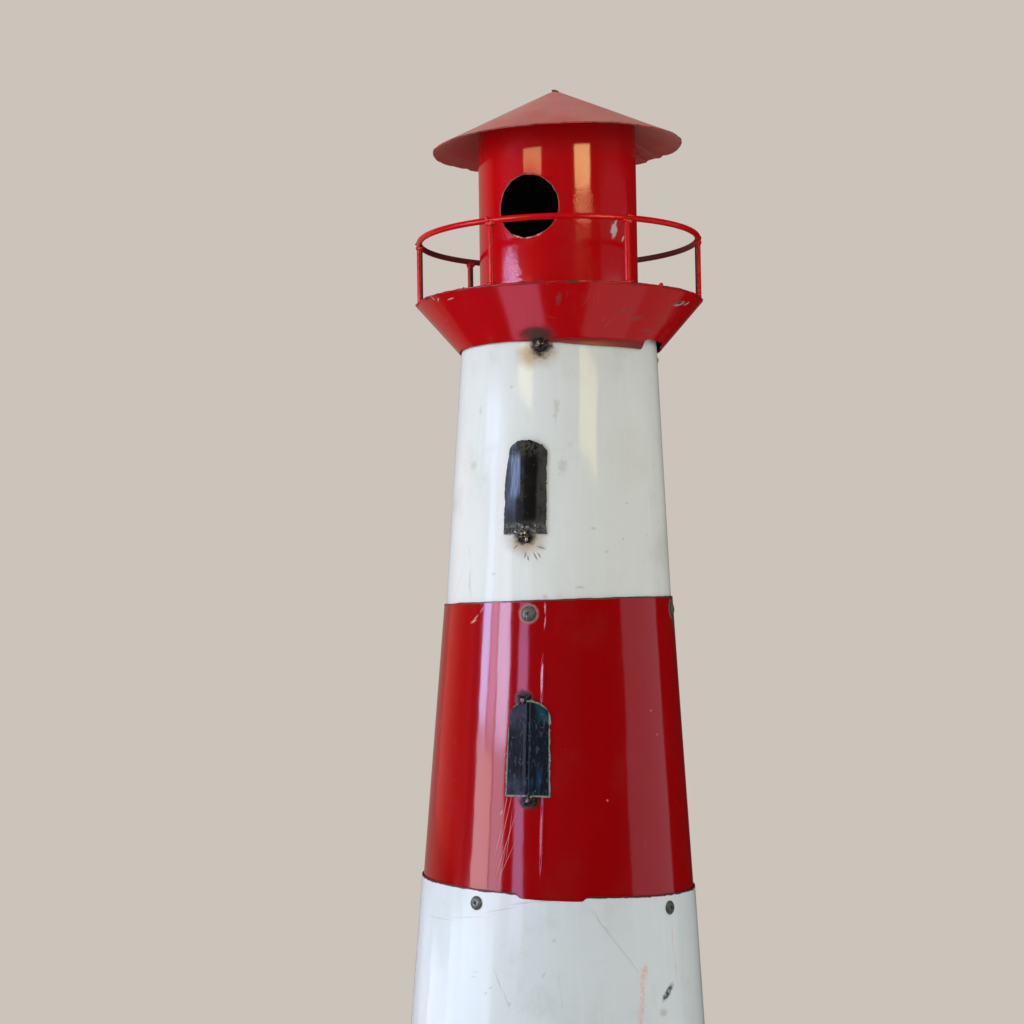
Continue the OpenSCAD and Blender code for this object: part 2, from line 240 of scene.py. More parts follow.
class Nodes:
    """Writes the nodes of a material or a world."""

    def __init__(self, owner):
        owner.use_nodes = True
        self.tree = owner.node_tree
        self.tree.nodes.clear()

    def node(self, kind, inputs=(), **settings):
        made = self.tree.nodes.new("ShaderNode" + kind)
        for name, value in settings.items():
            setattr(made, name, value)
        for key, value in dict(inputs).items():
            socket = made.inputs[key]
            if isinstance(value, bpy.types.NodeSocket):
                self.tree.links.new(value, socket)
            elif socket.type == "RGBA":
                socket.default_value = (*value[:3], 1)
            else:
                socket.default_value = value
        return made

    def sum(self, operation, *values):
        return self.node("Math", dict(enumerate(values)), operation=operation).outputs[0]

    def times(self, product, *others):
        for other in others:
            product = self.sum("MULTIPLY", product, other)
        return product

    def most(self, most, *others):
        for other in others:
            most = self.sum("MAXIMUM", most, other)
        return most

    def vector(self, operation, *values):
        made = self.node("VectorMath", dict(enumerate(values)), operation=operation)
        return made.outputs["Value" if operation in ("DOT_PRODUCT", "LENGTH") else "Vector"]

    def between(self, value, low, high, to_low=0.0, to_high=1.0):
        """Smooth step from to_low where value is under low to to_high where it is over high."""
        if low > high:
            low, high, to_low, to_high = high, low, to_high, to_low
        return self.node("MapRange", {"Value": value, 1: low, 2: high, 3: to_low, 4: to_high},
                         interpolation_type="SMOOTHSTEP").outputs[0]

    def steps(self, *steps):
        """Product of smooth steps. Each one holds what between takes."""
        return self.times(*(self.between(*step) for step in steps))

    def apart(self, value, other):
        return self.sum("ABSOLUTE", self.sum("SUBTRACT", value, other))

    def shader(self, kind, inputs):
        return self.node(kind, inputs).outputs[0]


class Finish(Nodes):
    """Writes a material layer by layer: each layer covers the ones below it where its mask is 1."""

    def __init__(self, name, colour, roughness, metallic=0.0):
        self.material = bpy.data.materials.new(name)
        super().__init__(self.material)
        self.place = self.node("TexCoord").outputs["Object"]
        self.normal = self.node("NewGeometry").outputs["Normal"]
        self.colour = tuple(colour)
        self.rough = roughness
        self.metal = metallic
        self.height = 0.0

    def cloud(self, size, detail=3, stretch=None, roughness=0.55):
        """Noise from 0 to 1 whose patches are about size millimetres across. A stretch above 1
        shortens them."""
        place = self.place
        if stretch:
            place = self.node("Mapping", {"Vector": place, "Scale": stretch}).outputs[0]
        return self.node("TexNoise", {"Vector": place, "Scale": 1 / (size * MM), "Detail": detail,
                                      "Roughness": roughness}).outputs[0]

    def mixed(self, mask, below, above, kind="FLOAT"):
        first, result = {"FLOAT": (2, 0), "RGBA": (6, 2)}[kind]
        made = self.node("Mix", {"Factor": mask, first: below, first + 1: above}, data_type=kind)
        return made.outputs[result]

    def layer(self, mask, colour=None, rough=None, metal=None, lift=0):
        """lift is the height of the layer in millimetres; below 0 it is sunk."""
        if colour is not None:
            self.colour = self.mixed(mask, self.colour, tuple(colour), "RGBA")
        if rough is not None:
            self.rough = self.mixed(mask, self.rough, rough)
        if metal is not None:
            self.metal = self.mixed(mask, self.metal, metal)
        if lift:
            self.uneven((mask, lift))

    def uneven(self, *clouds):
        """Adds bumps: each is a pair of a noise and its depth in millimetres."""
        for cloud, depth in clouds:
            self.height = self.sum("MULTIPLY_ADD", cloud, depth, self.height)

    def marks(self, at, spots, soft, rag=0.35, grain=3, most=1):
        """Mask over marks on the piece. A spot is its turn, its height, the slope of its long way
        where it has one, half its length and half its width, in degrees and millimetres. at(turn,
        height) gives the frame there, grain is the size of the raggedness and most the full mask."""
        shake = self.node("TexNoise", {"Vector": self.place, "Scale": 1 / (grain * MM), "Detail": 3})
        shake = self.vector("SUBTRACT", shake.outputs["Color"], (0.5, 0.5, 0.5))
        nearest = None
        for turn, z, *slope, length, width in spots:
            spot = at(turn, z * MM) @ turned(sum(slope))
            away = self.vector("MULTIPLY_ADD", shake, (width * MM * 2 * rag,) * 3, self.place)
            inside = self.node("Mapping", {
                "Vector": away, "Location": spot.to_translation(), "Rotation": spot.to_euler(),
                "Scale": (length * MM, width * MM, max(width, 2) * MM)}, vector_type="TEXTURE")
            far = self.vector("LENGTH", inside.outputs[0])
            nearest = far if nearest is None else self.sum("MINIMUM", nearest, far)
        return self.between(nearest, 1 + soft, 1 - soft, 0, most)

    def cover(self, colour, rough, *steps, metal=None, lift=0):
        """Lays a layer where smooth steps overlap."""
        self.layer(self.steps(*steps), colour, rough, metal, lift)

    def wear(self, at, spots, look, colour, rough=None, metal=None, lift=0):
        """Lays a layer over marks. look holds the numbers that marks takes after its spots."""
        self.layer(self.marks(at, spots, *look), colour, rough, metal, lift)

    def up(self, way=(0, 0, 1)):
        """How far the faces look one way: 1 where they face it."""
        return self.vector("DOT_PRODUCT", self.normal, way)

    def off_axis(self, x=0, y=0):
        """Level vector away from an upright axis."""
        return self.vector("MULTIPLY", self.vector("SUBTRACT", self.place, (x, y, 0)), (1, 1, 0))

    def done(self, specular=0.5, sheen=0.0):
        bump = self.node("Bump", {"Height": self.height, "Strength": 1.0, "Distance": MM})
        surface = self.shader("BsdfPrincipled", {
            "Base Color": self.colour, "Roughness": self.rough, "Metallic": self.metal,
            "Specular IOR Level": specular, "Sheen Weight": sheen, "Sheen Tint": (1.0, 0.85, 0.74),
            "Normal": bump.outputs[0]})
        self.node("OutputMaterial", {"Surface": surface})
        return self.material


def shade(colour, share):
    """A colour made darker or brighter."""
    return tuple(min(1, share * c) for c in colour)


def gloss_paint(name, colour, rough, dirt, buckle=0.5):
    """Brushed gloss paint with its unevenness and a film of dirt. buckle is the depth of the
    broad hollows and humps in the sheet, in millimetres."""
    paint = Finish(name, colour, rough)
    broad, streaks = paint.cloud(90, 2), paint.cloud(5, 3, (1, 1, 0.06))
    grime = paint.cloud(60, 6, roughness=0.7)
    paint.cover(shade(colour, 0.8), rough + 0.05, (broad, 0.35, 0.7, 0, 0.22))
    paint.cover(shade(colour, 1.1), None, (streaks, 0.5, 0.75, 0, 0.25))
    paint.cover((0.16, 0.12, 0.09), rough + 0.22, (grime, 0.52, 0.75, 0, dirt))
    paint.uneven((paint.cloud(1.6, 2), 0.006), (paint.cloud(11, 2, (1, 1, 0.25)), 0.05),
                 (paint.cloud(48, 2, (1, 1, 0.5)), buckle))
    return paint


def specks(paint, colour, size, share, radius, rough=0.5):
    """Tiny dots of spatter and dirt, in a few cells of a pattern, size millimetres each."""
    cells = paint.node("TexVoronoi", {"Vector": paint.place, "Scale": 1 / (size * MM),
                                      "Randomness": 1.0})
    chance = paint.node("SeparateColor", {"Color": cells.outputs["Color"]}).outputs[0]
    paint.cover(colour, rough, (cells.outputs["Distance"], radius, radius * 0.7),
                (chance, share, share * 0.98), lift=0.02)


def hairlines(paint, colour, size, strength, width=0.0035, share=0.6, stretch=(1, 1, 0.5)):
    """Fine curved scratches, in places. size is the width of their curves in millimetres."""
    line = paint.apart(paint.cloud(size, 1, stretch), 0.5)
    paint.cover(colour, 0.45, (line, width, width * 0.4, 0, strength),
                (paint.cloud(size * 0.9, 2), share, share + 0.06), lift=-0.02)


def cut_edge(paint, way=1, colour=(0.05, 0.018, 0.015)):
    """Bare dark metal on the thickness of the sheet, where it faces up, or down for way -1."""
    paint.cover(colour, 0.6, (paint.up((0, 0, way)), 0.75, 0.9))


def grime_and_gap_shade_line(paint, wall, width, colour):
    """Dark line along a band's tilted top edge: grime, and painted shade of the gap where the sheets
    lap.
    """
    tilt = math.radians(wall.tilt)
    out = (*point(wall.low, math.sin(tilt), 0).xy, math.cos(tilt))
    level = paint.vector("DOT_PRODUCT", paint.place, out)
    edge = paint.sum("MULTIPLY_ADD", paint.cloud(7, 4), width * 1.6, level)
    top = wall.top * math.cos(tilt)
    paint.cover(colour, 0.5, (edge, top - width * 0.2, top + width * 0.2))


def weld_finish(name, colour):
    """Sooted weld metal."""
    weld = Finish(name, colour, 0.2, 0.1)
    weld.cover(shade(colour, 2.5), 0.4, (weld.cloud(4, 4), 0.5, 0.7))
    weld.uneven((weld.cloud(1.5, 3), 0.12), (weld.cloud(3.5, 2), 0.4))
    return weld.done()


# Modelling

def bumps(*spot):
    """Smooth unevenness, from -1 to 1, at a spot given by three numbers."""
    return noise.noise(Vector(spot))


def wave(turn, z):
    """Unevenness of the rolled sheets, the same for all of them, so that laps stay apart."""
    x, y, _ = point(turn, 100, 0)
    long = bumps(x / 46, y / 46, z / MM / 190)
    short = bumps(x / 17 + 9, y / 17, z / MM / 120)
    return (long + 0.3 * short) * sheet_settings().wave


def ragged(turn, seed, length):
    """Unevenness of a cut edge, from -1 to 1, with bumps of about length in degrees."""
    x, y, _ = point(turn, 57.3 / length, seed)
    return bumps(x, -y, seed) + 0.5 * bumps(2.7 * x, -2.7 * y, 2.7 * seed)


def smooth(value, low, high):
    """Smooth step from 0 at low to 1 at high."""
    share = min(1, max(0, (value - low) / (high - low)))
    return share * share * (3 - 2 * share)


def turns_apart(turn, other):
    """How far a turn lies past another, from -180 to 180 degrees."""
    return (turn - other + 180) % 360 - 180


def rolled_sheet(place, rows, seam_r=None):
    """A sheet rolled round the axis. place(turn, share, lap) gives a point of its outer face,
    where lap is 1 on the raised end of the sheet that closes it. seam_r is its radius there."""
    mesh = bmesh.new()
    line = [mesh.verts.new((0, -1, row / rows)) for row in range(rows + 1)]
    edges = [mesh.edges.new(pair) for pair in zip(line, line[1:])]
    bmesh.ops.spin(mesh, geom=line + edges, cent=(0, 0, 0), axis=(0, 0, 1), dvec=(0, 0, 0),
                   angle=math.tau, steps=COLUMNS, use_merge=True)
    half = math.degrees(SEAM_WIDTH / 2 / seam_r) if seam_r else 0
    pitch = 360 / COLUMNS
    for vert in mesh.verts:
        turn = math.degrees(math.atan2(vert.co.x, -vert.co.y))
        lap = 0
        if seam_r:
            past = turns_apart(turn, SEAM_TURN + half)
            if abs(past) <= pitch / 2:
                turn, lap = turn - past, 1
            elif 0 < past <= pitch * 1.5:
                turn += SEAM_STEP - past
            elif past < 0:
                lap = smooth(past, -2.6 * half, -1.6 * half)
        vert.co = place(turn, vert.co.z, lap)
    bmesh.ops.remove_doubles(mesh, verts=mesh.verts, dist=1e-6)
    face_out(mesh, lambda spot: Vector((*spot.xy, 0)).normalized() + Vector((0, 0, 0.3)))
    bmesh.ops.solidify(mesh, geom=mesh.faces[:], thickness=SHEET)
    return mesh


def face_out(mesh, out):
    """Turns an open sheet's faces the way that out(spot) gives for their middles."""
    bmesh.ops.recalc_face_normals(mesh, faces=mesh.faces)
    if sum(face.normal.dot(out(face.calc_center_median())) for face in mesh.faces) < 0:
        bmesh.ops.reverse_faces(mesh, faces=mesh.faces)


def hoop(sides, steps, place):
    """A closed bead. place(way, out, side) gives its points from a level unit vector for the place
    on the hoop and from the offsets from the bead's middle, -1 to 1 outwards and sideways."""
    mesh = bmesh.new()
    middle = 5
    bmesh.ops.create_circle(mesh, segments=sides, radius=1)
    bmesh.ops.spin(mesh, geom=mesh.verts[:] + mesh.edges[:], cent=(middle, 0, 0), axis=(0, 1, 0),
                   angle=math.tau, steps=steps, use_merge=True)
    for vert in mesh.verts:
        around = Vector((vert.co.x - middle, vert.co.z))
        vert.co = place(around.normalized(), around.length - middle, vert.co.y)
    bmesh.ops.remove_doubles(mesh, verts=mesh.verts, dist=1e-6)
    bmesh.ops.recalc_face_normals(mesh, faces=mesh.faces)
    return mesh


def lump(mesh, at, size, seed, rough, detail=3):
    """Adds a drop of weld metal: an uneven ball, size millimetres across in each direction of the
    frame."""
    ball = bmesh.ops.create_icosphere(mesh, subdivisions=detail, radius=1)
    for vert in ball["verts"]:
        spot = vert.co.copy()
        swell = 1 + rough * noise.noise(spot * 1.3 + Vector((seed, 1.7 * seed, 0)))
        swell += 0.4 * rough * noise.noise(spot * 3.4 - Vector((seed, 0, seed)))
        vert.co = at @ Vector(c * s * MM * swell / 2 for c, s in zip(spot, size))


def piece(mesh, name, material, slot, *replaced, sharp=38):
    """Turns a mesh into a smooth-shaded piece that rides on the tower."""
    data = bpy.data.meshes.new(name)
    mesh.to_mesh(data)
    mesh.free()
    data.materials.append(material)
    data.shade_smooth()
    data.set_sharp_from_angle(angle=math.radians(sharp))
    made = bpy.data.objects.new(name, data)
    bpy.context.scene.collection.objects.link(made)
    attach(made, "root")
    if replaced:
        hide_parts(*replaced)
    return made


def paint_node(node, material):
    """Gives a CAD node its finish."""
    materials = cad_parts[node].data.materials
    materials.clear()
    materials.append(material)


# Operators, one for each piece or group of like pieces

class LIGHTHOUSE_OT_bands(bpy.types.Operator):
    """Rolls the four bands of the tower and paints them"""
    bl_idname = "lighthouse.bands"
    bl_label = "Tower bands"

    def execute(self, context):
        for name, paint, slot, cut in (("upper_white", self.upper_white, "white_paint", None),
                                       ("upper_red", self.upper_red, "red_paint", None),
                                       ("lower_white", self.lower_white, "white_paint", self.dip),
                                       ("lower_red", self.lower_red, "red_paint", None)):
            wall = WALLS[name]
            piece(self.sheet(wall, cut), f"{name}_sheet", paint(wall, paint_settings()), slot,
                  f"{name}_band")
        return {"FINISHED"}

    def sheet(self, wall, cut):
        """A band's sheet, with its closing lap and its hand-cut edge. cut(turn) is the depth of a
        dip in that edge."""
        rag = sheet_settings().edge

        def place(turn, share, lap):
            edge = wall.edge(turn) + rag * ragged(turn, wall.top * 10, 9) - (cut(turn) if cut else 0)
            z = wall.foot + (edge - wall.foot) * share
            lap *= smooth(z, wall.seam_foot, wall.seam_foot + SEAM_FADE)
            lap *= smooth(z, wall.seam_head, wall.seam_head - SEAM_FADE)
            rolled = wave(turn, z) * smooth(z, 0, FLAT_FOOT)
            return point(turn, wall.radius(z) + lap * SHEET + rolled - INSET, z)

        mesh = rolled_sheet(place, 64, wall.top_r)
        for vert in mesh.verts:
            vert.co.z = max(vert.co.z, 0)
        return mesh

    def dip(self, turn):
        """Depth of the dip in the lower white band's edge."""
        along = abs(math.radians(turn - 19.6)) * WALLS["lower_white"].top_r
        return (4 * smooth(along, 31 * MM, 24 * MM) + 0.4 * smooth(along, 34 * MM, 0)) * MM

    def upper_white(self, wall, colours):
        paint = gloss_paint("upper_white_paint", colours.white, 0.09, 0.16)
        scorched = ((11, 924, 11, 10), (5.5, 920, 9, 8), (5.2, 768, 13, 8))
        paint.wear(wall.at, scorched, (0.8, 0.5, 9, 0.75), colours.burn, 0.3)
        black = ((12.2, 928, 8.5, 8), (4.9, 771, 8.5, 5))
        paint.wear(wall.at, black, (0.5, 0.8, 4), colours.soot_and_inner_shade, 0.5)
        rays = ((5.5, 757, 80, 2.5, 0.6), (7, 754.5, 95, 2, 0.6), (10.6, 756, 118, 3.5, 0.6),
                (12.6, 757, 125, 2.5, 0.6), (13.5, 763, 160, 3.5, 0.6), (0.5, 764, 40, 2.5, 0.6))
        paint.wear(wall.at, rays, (0.6, 0.9, 2, 0.75), (0.1, 0.08, 0.07), 0.5)
        spots = ((-4.6, 894.8, 1.6, 1.2), (-26.1, 877, 1.5, 3), (21, 878, 2, 5), (20.5, 872, 0.8, 7),
                 (32.8, 731, 3.5, 1), (15.8, 723, 2, 2), (-30, 832, 4, 3), (24, 829, 3, 6),
                 (40, 779, 2, 1), (47, 760, 1.8, 0.8), (-12, 742, 1.6, 1), (60, 800, 1.4, 1))
        paint.wear(wall.at, spots, (0.8, 0.7, 3, 0.24), (0.2, 0.14, 0.09), 0.5)
        yellowed = ((63, 840, 16, 24), (-33, 836, 9, 12))
        paint.wear(wall.at, yellowed, (0.9, 0.6, 14, 0.14), (0.5, 0.4, 0.22))
        hairlines(paint, (0.35, 0.33, 0.3), 60, 0.3)
        specks(paint, (0.25, 0.2, 0.16), 11, 0.12, 0.05)
        cut_edge(paint)
        return paint.done(0.1)

    def upper_red(self, wall, colours):
        paint = gloss_paint("upper_red_paint", colours.red, 0.09, 0.04)
        scrapes = ((-21.4, 706.5, 42, 2.6, 0.6), (-22.8, 703.5, 25, 3, 0.9), (-17.5, 713, 55, 3, 0.25),
                   (0, 545, 78, 22, 0.13), (-0.8, 520, 72, 20, 0.13), (1.5, 532, 84, 14, 0.12),
                   (-1.5, 505, 80, 16, 0.13), (-0.5, 557, 80, 9, 0.15), (-2.4, 551, 60, 1.6, 0.6),
                   (1.2, 515, 66, 13, 0.12), (2.6, 540, 73, 12, 0.12), (-3, 530, 76, 10, 0.12))
        paint.wear(wall.at, scrapes, (0.8, 1.1, 2, 0.75), (0.62, 0.26, 0.16), 0.45, lift=-0.04)
        # A pale smear at the top of the crease: chipped paint and a painted highlight.
        pale = ((15.9, 714, 92, 3.5, 0.6), (15.9, 703, 84, 4.5, 0.4))
        paint.wear(wall.at, pale, (0.8, 1.3, 2, 0.7), (0.6, 0.36, 0.4), 0.4, lift=-0.04)
        dots = [(turn, z, 0.9, 0.9) for turn, z in ((72.4, 612), (43.6, 561.3), (69.2, 631.6))]
        paint.wear(wall.at, dots, (0.4,), (0.5, 0.12, 0.09), 0.4, lift=0.1)
        crease = ((15.6, 658, 89, 15, 1.5), (16, 535, 89, 24, 1.5))
        paint.wear(wall.at, crease, (0.9, 0.12), None, 0.14, lift=0.75)
        for size, look, colour, rough in ((8, (0.16, 0.12, 3, 0.7), (0.34, 0.2, 0.17), 0.35),
                                          (6.6, (0.1, 0.1), (0.05, 0.055, 0.045), 0.4)):
            round_rivets = [(turn, 11, size, size) for turn in (8, 98, 188, 278)]
            paint.wear(wall.under_edge, round_rivets, look, colour, rough)
        paint.wear(wall.at, ((101, 710, 6, 11),), (0.4, 0.5), (0.05, 0.045, 0.03), 0.5)
        tacks = ((6.6, 642, 7, 6.5), (10, 561, 8, 6))
        paint.wear(wall.at, tacks, (0.35, 0.4), colours.soot_and_inner_shade, 0.4)
        hairlines(paint, (0.5, 0.13, 0.07), 50, 0.4, 0.0025, 0.62)
        specks(paint, (0.5, 0.1, 0.08), 9, 0.15, 0.04, 0.35)
        grime_and_gap_shade_line(paint, wall, 1.4 * MM, (0.06, 0.016, 0.016))
        cut_edge(paint)
        return paint.done()

    def lower_white(self, wall, colours):
        paint = gloss_paint("lower_white_paint", colours.cool_white, 0.09, 0.14)
        crayon = ((57.5, 424, 75, 7, 3), (56.5, 412, 95, 8, 1.9), (55.8, 398, 85, 10, 2),
                  (55, 384, 98, 9, 1.7), (54.4, 368, 86, 10, 1.9), (54.8, 350, 95, 12, 1.6),
                  (74.3, 449, 88, 8, 0.7), (75.4, 427, 92, 9, 0.7))
        broken = paint.between(paint.cloud(2.2, 4), 0.4, 0.6, 0.1, 0.75)
        paint.layer(paint.times(paint.marks(wall.at, crayon, 0.8, 1.3, 2), broken),
                    (0.78, 0.33, 0.27), 0.5)
        dark = ((42.5, 457, -52, 22, 0.35), (51, 436, -52, 16, 0.35), (38, 470, -60, 6, 0.35),
                (41, 462, -40, 5, 0.4), (-34, 462.5, 1, 20, 0.3), (-16, 467, 6, 18, 0.3),
                (-1, 475, 12, 13, 0.35), (8, 481, 10, 9, 0.6), (17, 483, 3, 9, 0.5),
                (-1, 420, -66, 8, 0.5), (2.6, 406, -70, 6, 0.4), (3.7, 402.6, 1.5, 1.5),
                (-6, 409.6, 1.2, 0.9), (-11, 425, 3, 0.4), (-11.8, 421, 2.4, 0.4),
                (20.8, 453, 1.3, 1), (17, 426, 60, 3, 0.5), (-4, 414, 30, 2, 0.5))
        paint.wear(wall.at, dark, (0.9, 1.1, 3, 0.28), (0.16, 0.14, 0.11), 0.5, lift=-0.03)
        hatched = paint.between(paint.cloud(1.7, 2, (1, 1, 0.6)), 0.4, 0.5, 0.35, 1)
        gouge = paint.marks(wall.at, ((69.6, 407, 42, 8.5, 2.8),), 0.4, 0.9, 2)
        paint.layer(paint.times(gouge, hatched), (0.06, 0.065, 0.065), 0.4, 0.4, -0.1)
        paint.wear(wall.at, ((66.5, 392, 4, 2.5),), (0.8, 0.9, 3, 0.45), (0.35, 0.29, 0.24), 0.4)
        hairlines(paint, (0.3, 0.29, 0.27), 70, 0.15, share=0.62)
        specks(paint, (0.25, 0.2, 0.17), 13, 0.12, 0.05)
        grime_and_gap_shade_line(paint, wall, 1.8 * MM, (0.08, 0.012, 0.014))
        cut_edge(paint)
        return paint.done(0.25)

    def lower_red(self, wall, colours):
        paint = gloss_paint("lower_red_paint", colours.red, 0.12, 0.12)
        hairlines(paint, (0.5, 0.14, 0.08), 55, 0.5, 0.0025, 0.58)
        foot = paint.node("SeparateXYZ", {0: paint.place}).outputs["Z"]
        worn = paint.sum("MULTIPLY_ADD", paint.cloud(12, 5), -0.012, foot)
        paint.cover((0.2, 0.17, 0.15), 0.5, (worn, -3.5 * MM, -4.5 * MM), lift=-0.05)
        specks(paint, (0.6, 0.14, 0.1), 10, 0.2, 0.05, 0.35)
        grime_and_gap_shade_line(paint, wall, 1 * MM, (0.09, 0.02, 0.02))
        cut_edge(paint)
        cut_edge(paint, -1)
        return paint.done()


class LIGHTHOUSE_OT_gallery(bpy.types.Operator):
    """Makes the gallery's deck, flared skirt and rim weld"""
    bl_idname = "lighthouse.gallery"
    bl_label = "Gallery"

    def execute(self, context):
        colours = paint_settings()
        piece(rolled_sheet(self.skirt, 20), "skirt_sheet", self.skirt_paint(colours), "red_paint",
              "gallery_skirt")

        paint = gloss_paint("deck_paint", colours.bright_red, 0.3, 0.5)
        paint.cover(colours.dust, 0.6, (paint.cloud(25, 6), 0.4, 0.7, 0.1, 0.6))
        # Painted shade: the deck within the drum is painted near black.
        across = paint.vector("LENGTH", paint.off_axis())
        paint.cover(colours.soot_and_inner_shade, 0.7, (across, DRUM_R + 0.5 * MM, DRUM_R - 1 * MM))
        piece(rolled_sheet(self.deck, 24), "deck_sheet", paint.done(), "red_paint", "gallery_deck")

        rim = Finish("rim_weld", (0.3, 0.0, 0.003), 0.3)
        rim.cover((0.03, 0.008, 0.008), 0.5, (rim.cloud(13, 4), 0.5, 0.66, 0, 0.9))
        rim.uneven((rim.cloud(2, 3), 0.3))
        piece(hoop(10, 540, self.rim), "rim_weld", rim.done(0.3), "red_paint", sharp=SMOOTH_ALL)
        return {"FINISHED"}

    def skirt(self, turn, share, lap):
        """Point of the skirt's outer face. Right of the front its foot hangs down to the notch."""
        off = abs(turns_apart(turn, NOTCH_TURN))
        foot = SKIRT_Z + NOTCH_HEIGHT * smooth(off, NOTCH_ANGLE / 2 + NOTCH_STEP, NOTCH_ANGLE / 2)
        start = NOTCH_TURN - NOTCH_ANGLE / 2
        if -20 < turn < start + NOTCH_STEP:
            foot -= SKIRT_SAG * smooth(turn, -14, 52) * smooth(turn, start + NOTCH_STEP, start)
        foot += 0.35 * MM * ragged(turn, 3.3, 22)
        z = foot + (DECK_Z - foot) * share
        reach = max(SKIRT_FOOT_R + (z - SKIRT_Z) * SKIRT_FLARE,
                    WALLS["upper_white"].radius(z) + 1.6 * MM) + wave(turn, z)
        return ON_GALLERY @ point(turn, reach, z)

    def deck(self, turn, share, lap):
        """Point of the deck's top, from its edge to its middle."""
        edge = DECK_R - 0.4 * MM + 0.4 * MM * ragged(turn, 7.7, 8)
        lift = 0.105 * MM * bumps(turn / 40, share * 5, 0) * smooth(share, 0, 0.2)
        worn = 0.3 * MM if share < 0.01 else 0
        return ON_GALLERY @ point(turn, edge * (1 - share), DRUM_Z - worn + lift)

    def rim(self, way, out, side):
        """Point of the bead under the deck's edge."""
        turn = math.degrees(math.atan2(way.x, way.y))
        thick = (0.85 + 0.3 * ragged(turn, 5.5, 5) + 0.2 * ragged(turn, 8.5, 1.5)) * MM
        reach = DECK_R - 0.9 * MM + out * thick
        return ON_GALLERY @ point(turn, reach, DECK_Z + 0.1 * MM + side * thick * 1.2)

    def skirt_paint(self, colours):
        paint = gloss_paint("skirt_paint", shade(colours.bright_red, 0.88), 0.13, 0.16)
        chips = ((-38, 972.5, 110, 2.5, 0.6), (-35, 970.5, 30, 2.5, 0.5), (-27, 969, 5, 4, 0.45),
                 (83, 964.5, 18, 6.5, 1.8), (89, 966, 30, 3.5, 1.2))
        paint.wear(on_skirt, chips, (0.4, 1.0, 2), colours.primer, 0.45, 0.3, -0.1)
        bare = ((82.5, 964.8, 18, 5, 1.2), (88, 966, 30, 3, 0.8))
        paint.wear(on_skirt, bare, (0.5, 1.2, 1.5), (0.06, 0.06, 0.062), 0.4, 0.4)
        scuffs = ((53, 955, 20, 8, 1.5), (60, 950, 10, 7, 2), (71.8, 942, 6, 1.5), (22, 962, 80, 5, 2))
        paint.wear(on_skirt, scuffs, (0.7, 1.2, 3, 0.45), (0.12, 0.05, 0.05), 0.4)
        halo = [(turn, 937, 12, 7) for turn in (10.5, *SKIRT_TACK_TURNS[1:])]
        paint.wear(on_skirt, halo, (0.8, 0.9, 6, 0.9), (0.022, 0.006, 0.003), 0.6)
        halo = [(turn, 936, 6, 5) for turn in (10, *SKIRT_TACK_TURNS[1:])]
        paint.wear(on_skirt, halo, (0.8, 0.9, 4, 0.8), (0.035, 0.04, 0.02), 0.7)
        hairlines(paint, (0.4, 0.1, 0.07), 40, 0.35, 0.003)
        specks(paint, (0.12, 0.04, 0.03), 6, 0.25, 0.06)
        upwards = tuple(ON_GALLERY.to_3x3() @ Vector((0, 0, 1)))
        foot = paint.vector("DOT_PRODUCT", paint.place, upwards)
        worn = paint.sum("MULTIPLY_ADD", paint.cloud(5, 3), 1.5 * MM, foot)
        paint.cover((0.13, 0.002, 0.002), 0.6, (worn, 934.6 * MM, 933.6 * MM, 0, 0.8))
        cut_edge(paint, -1, (0.02, 0.01, 0.01))
        return paint.done(0.45)


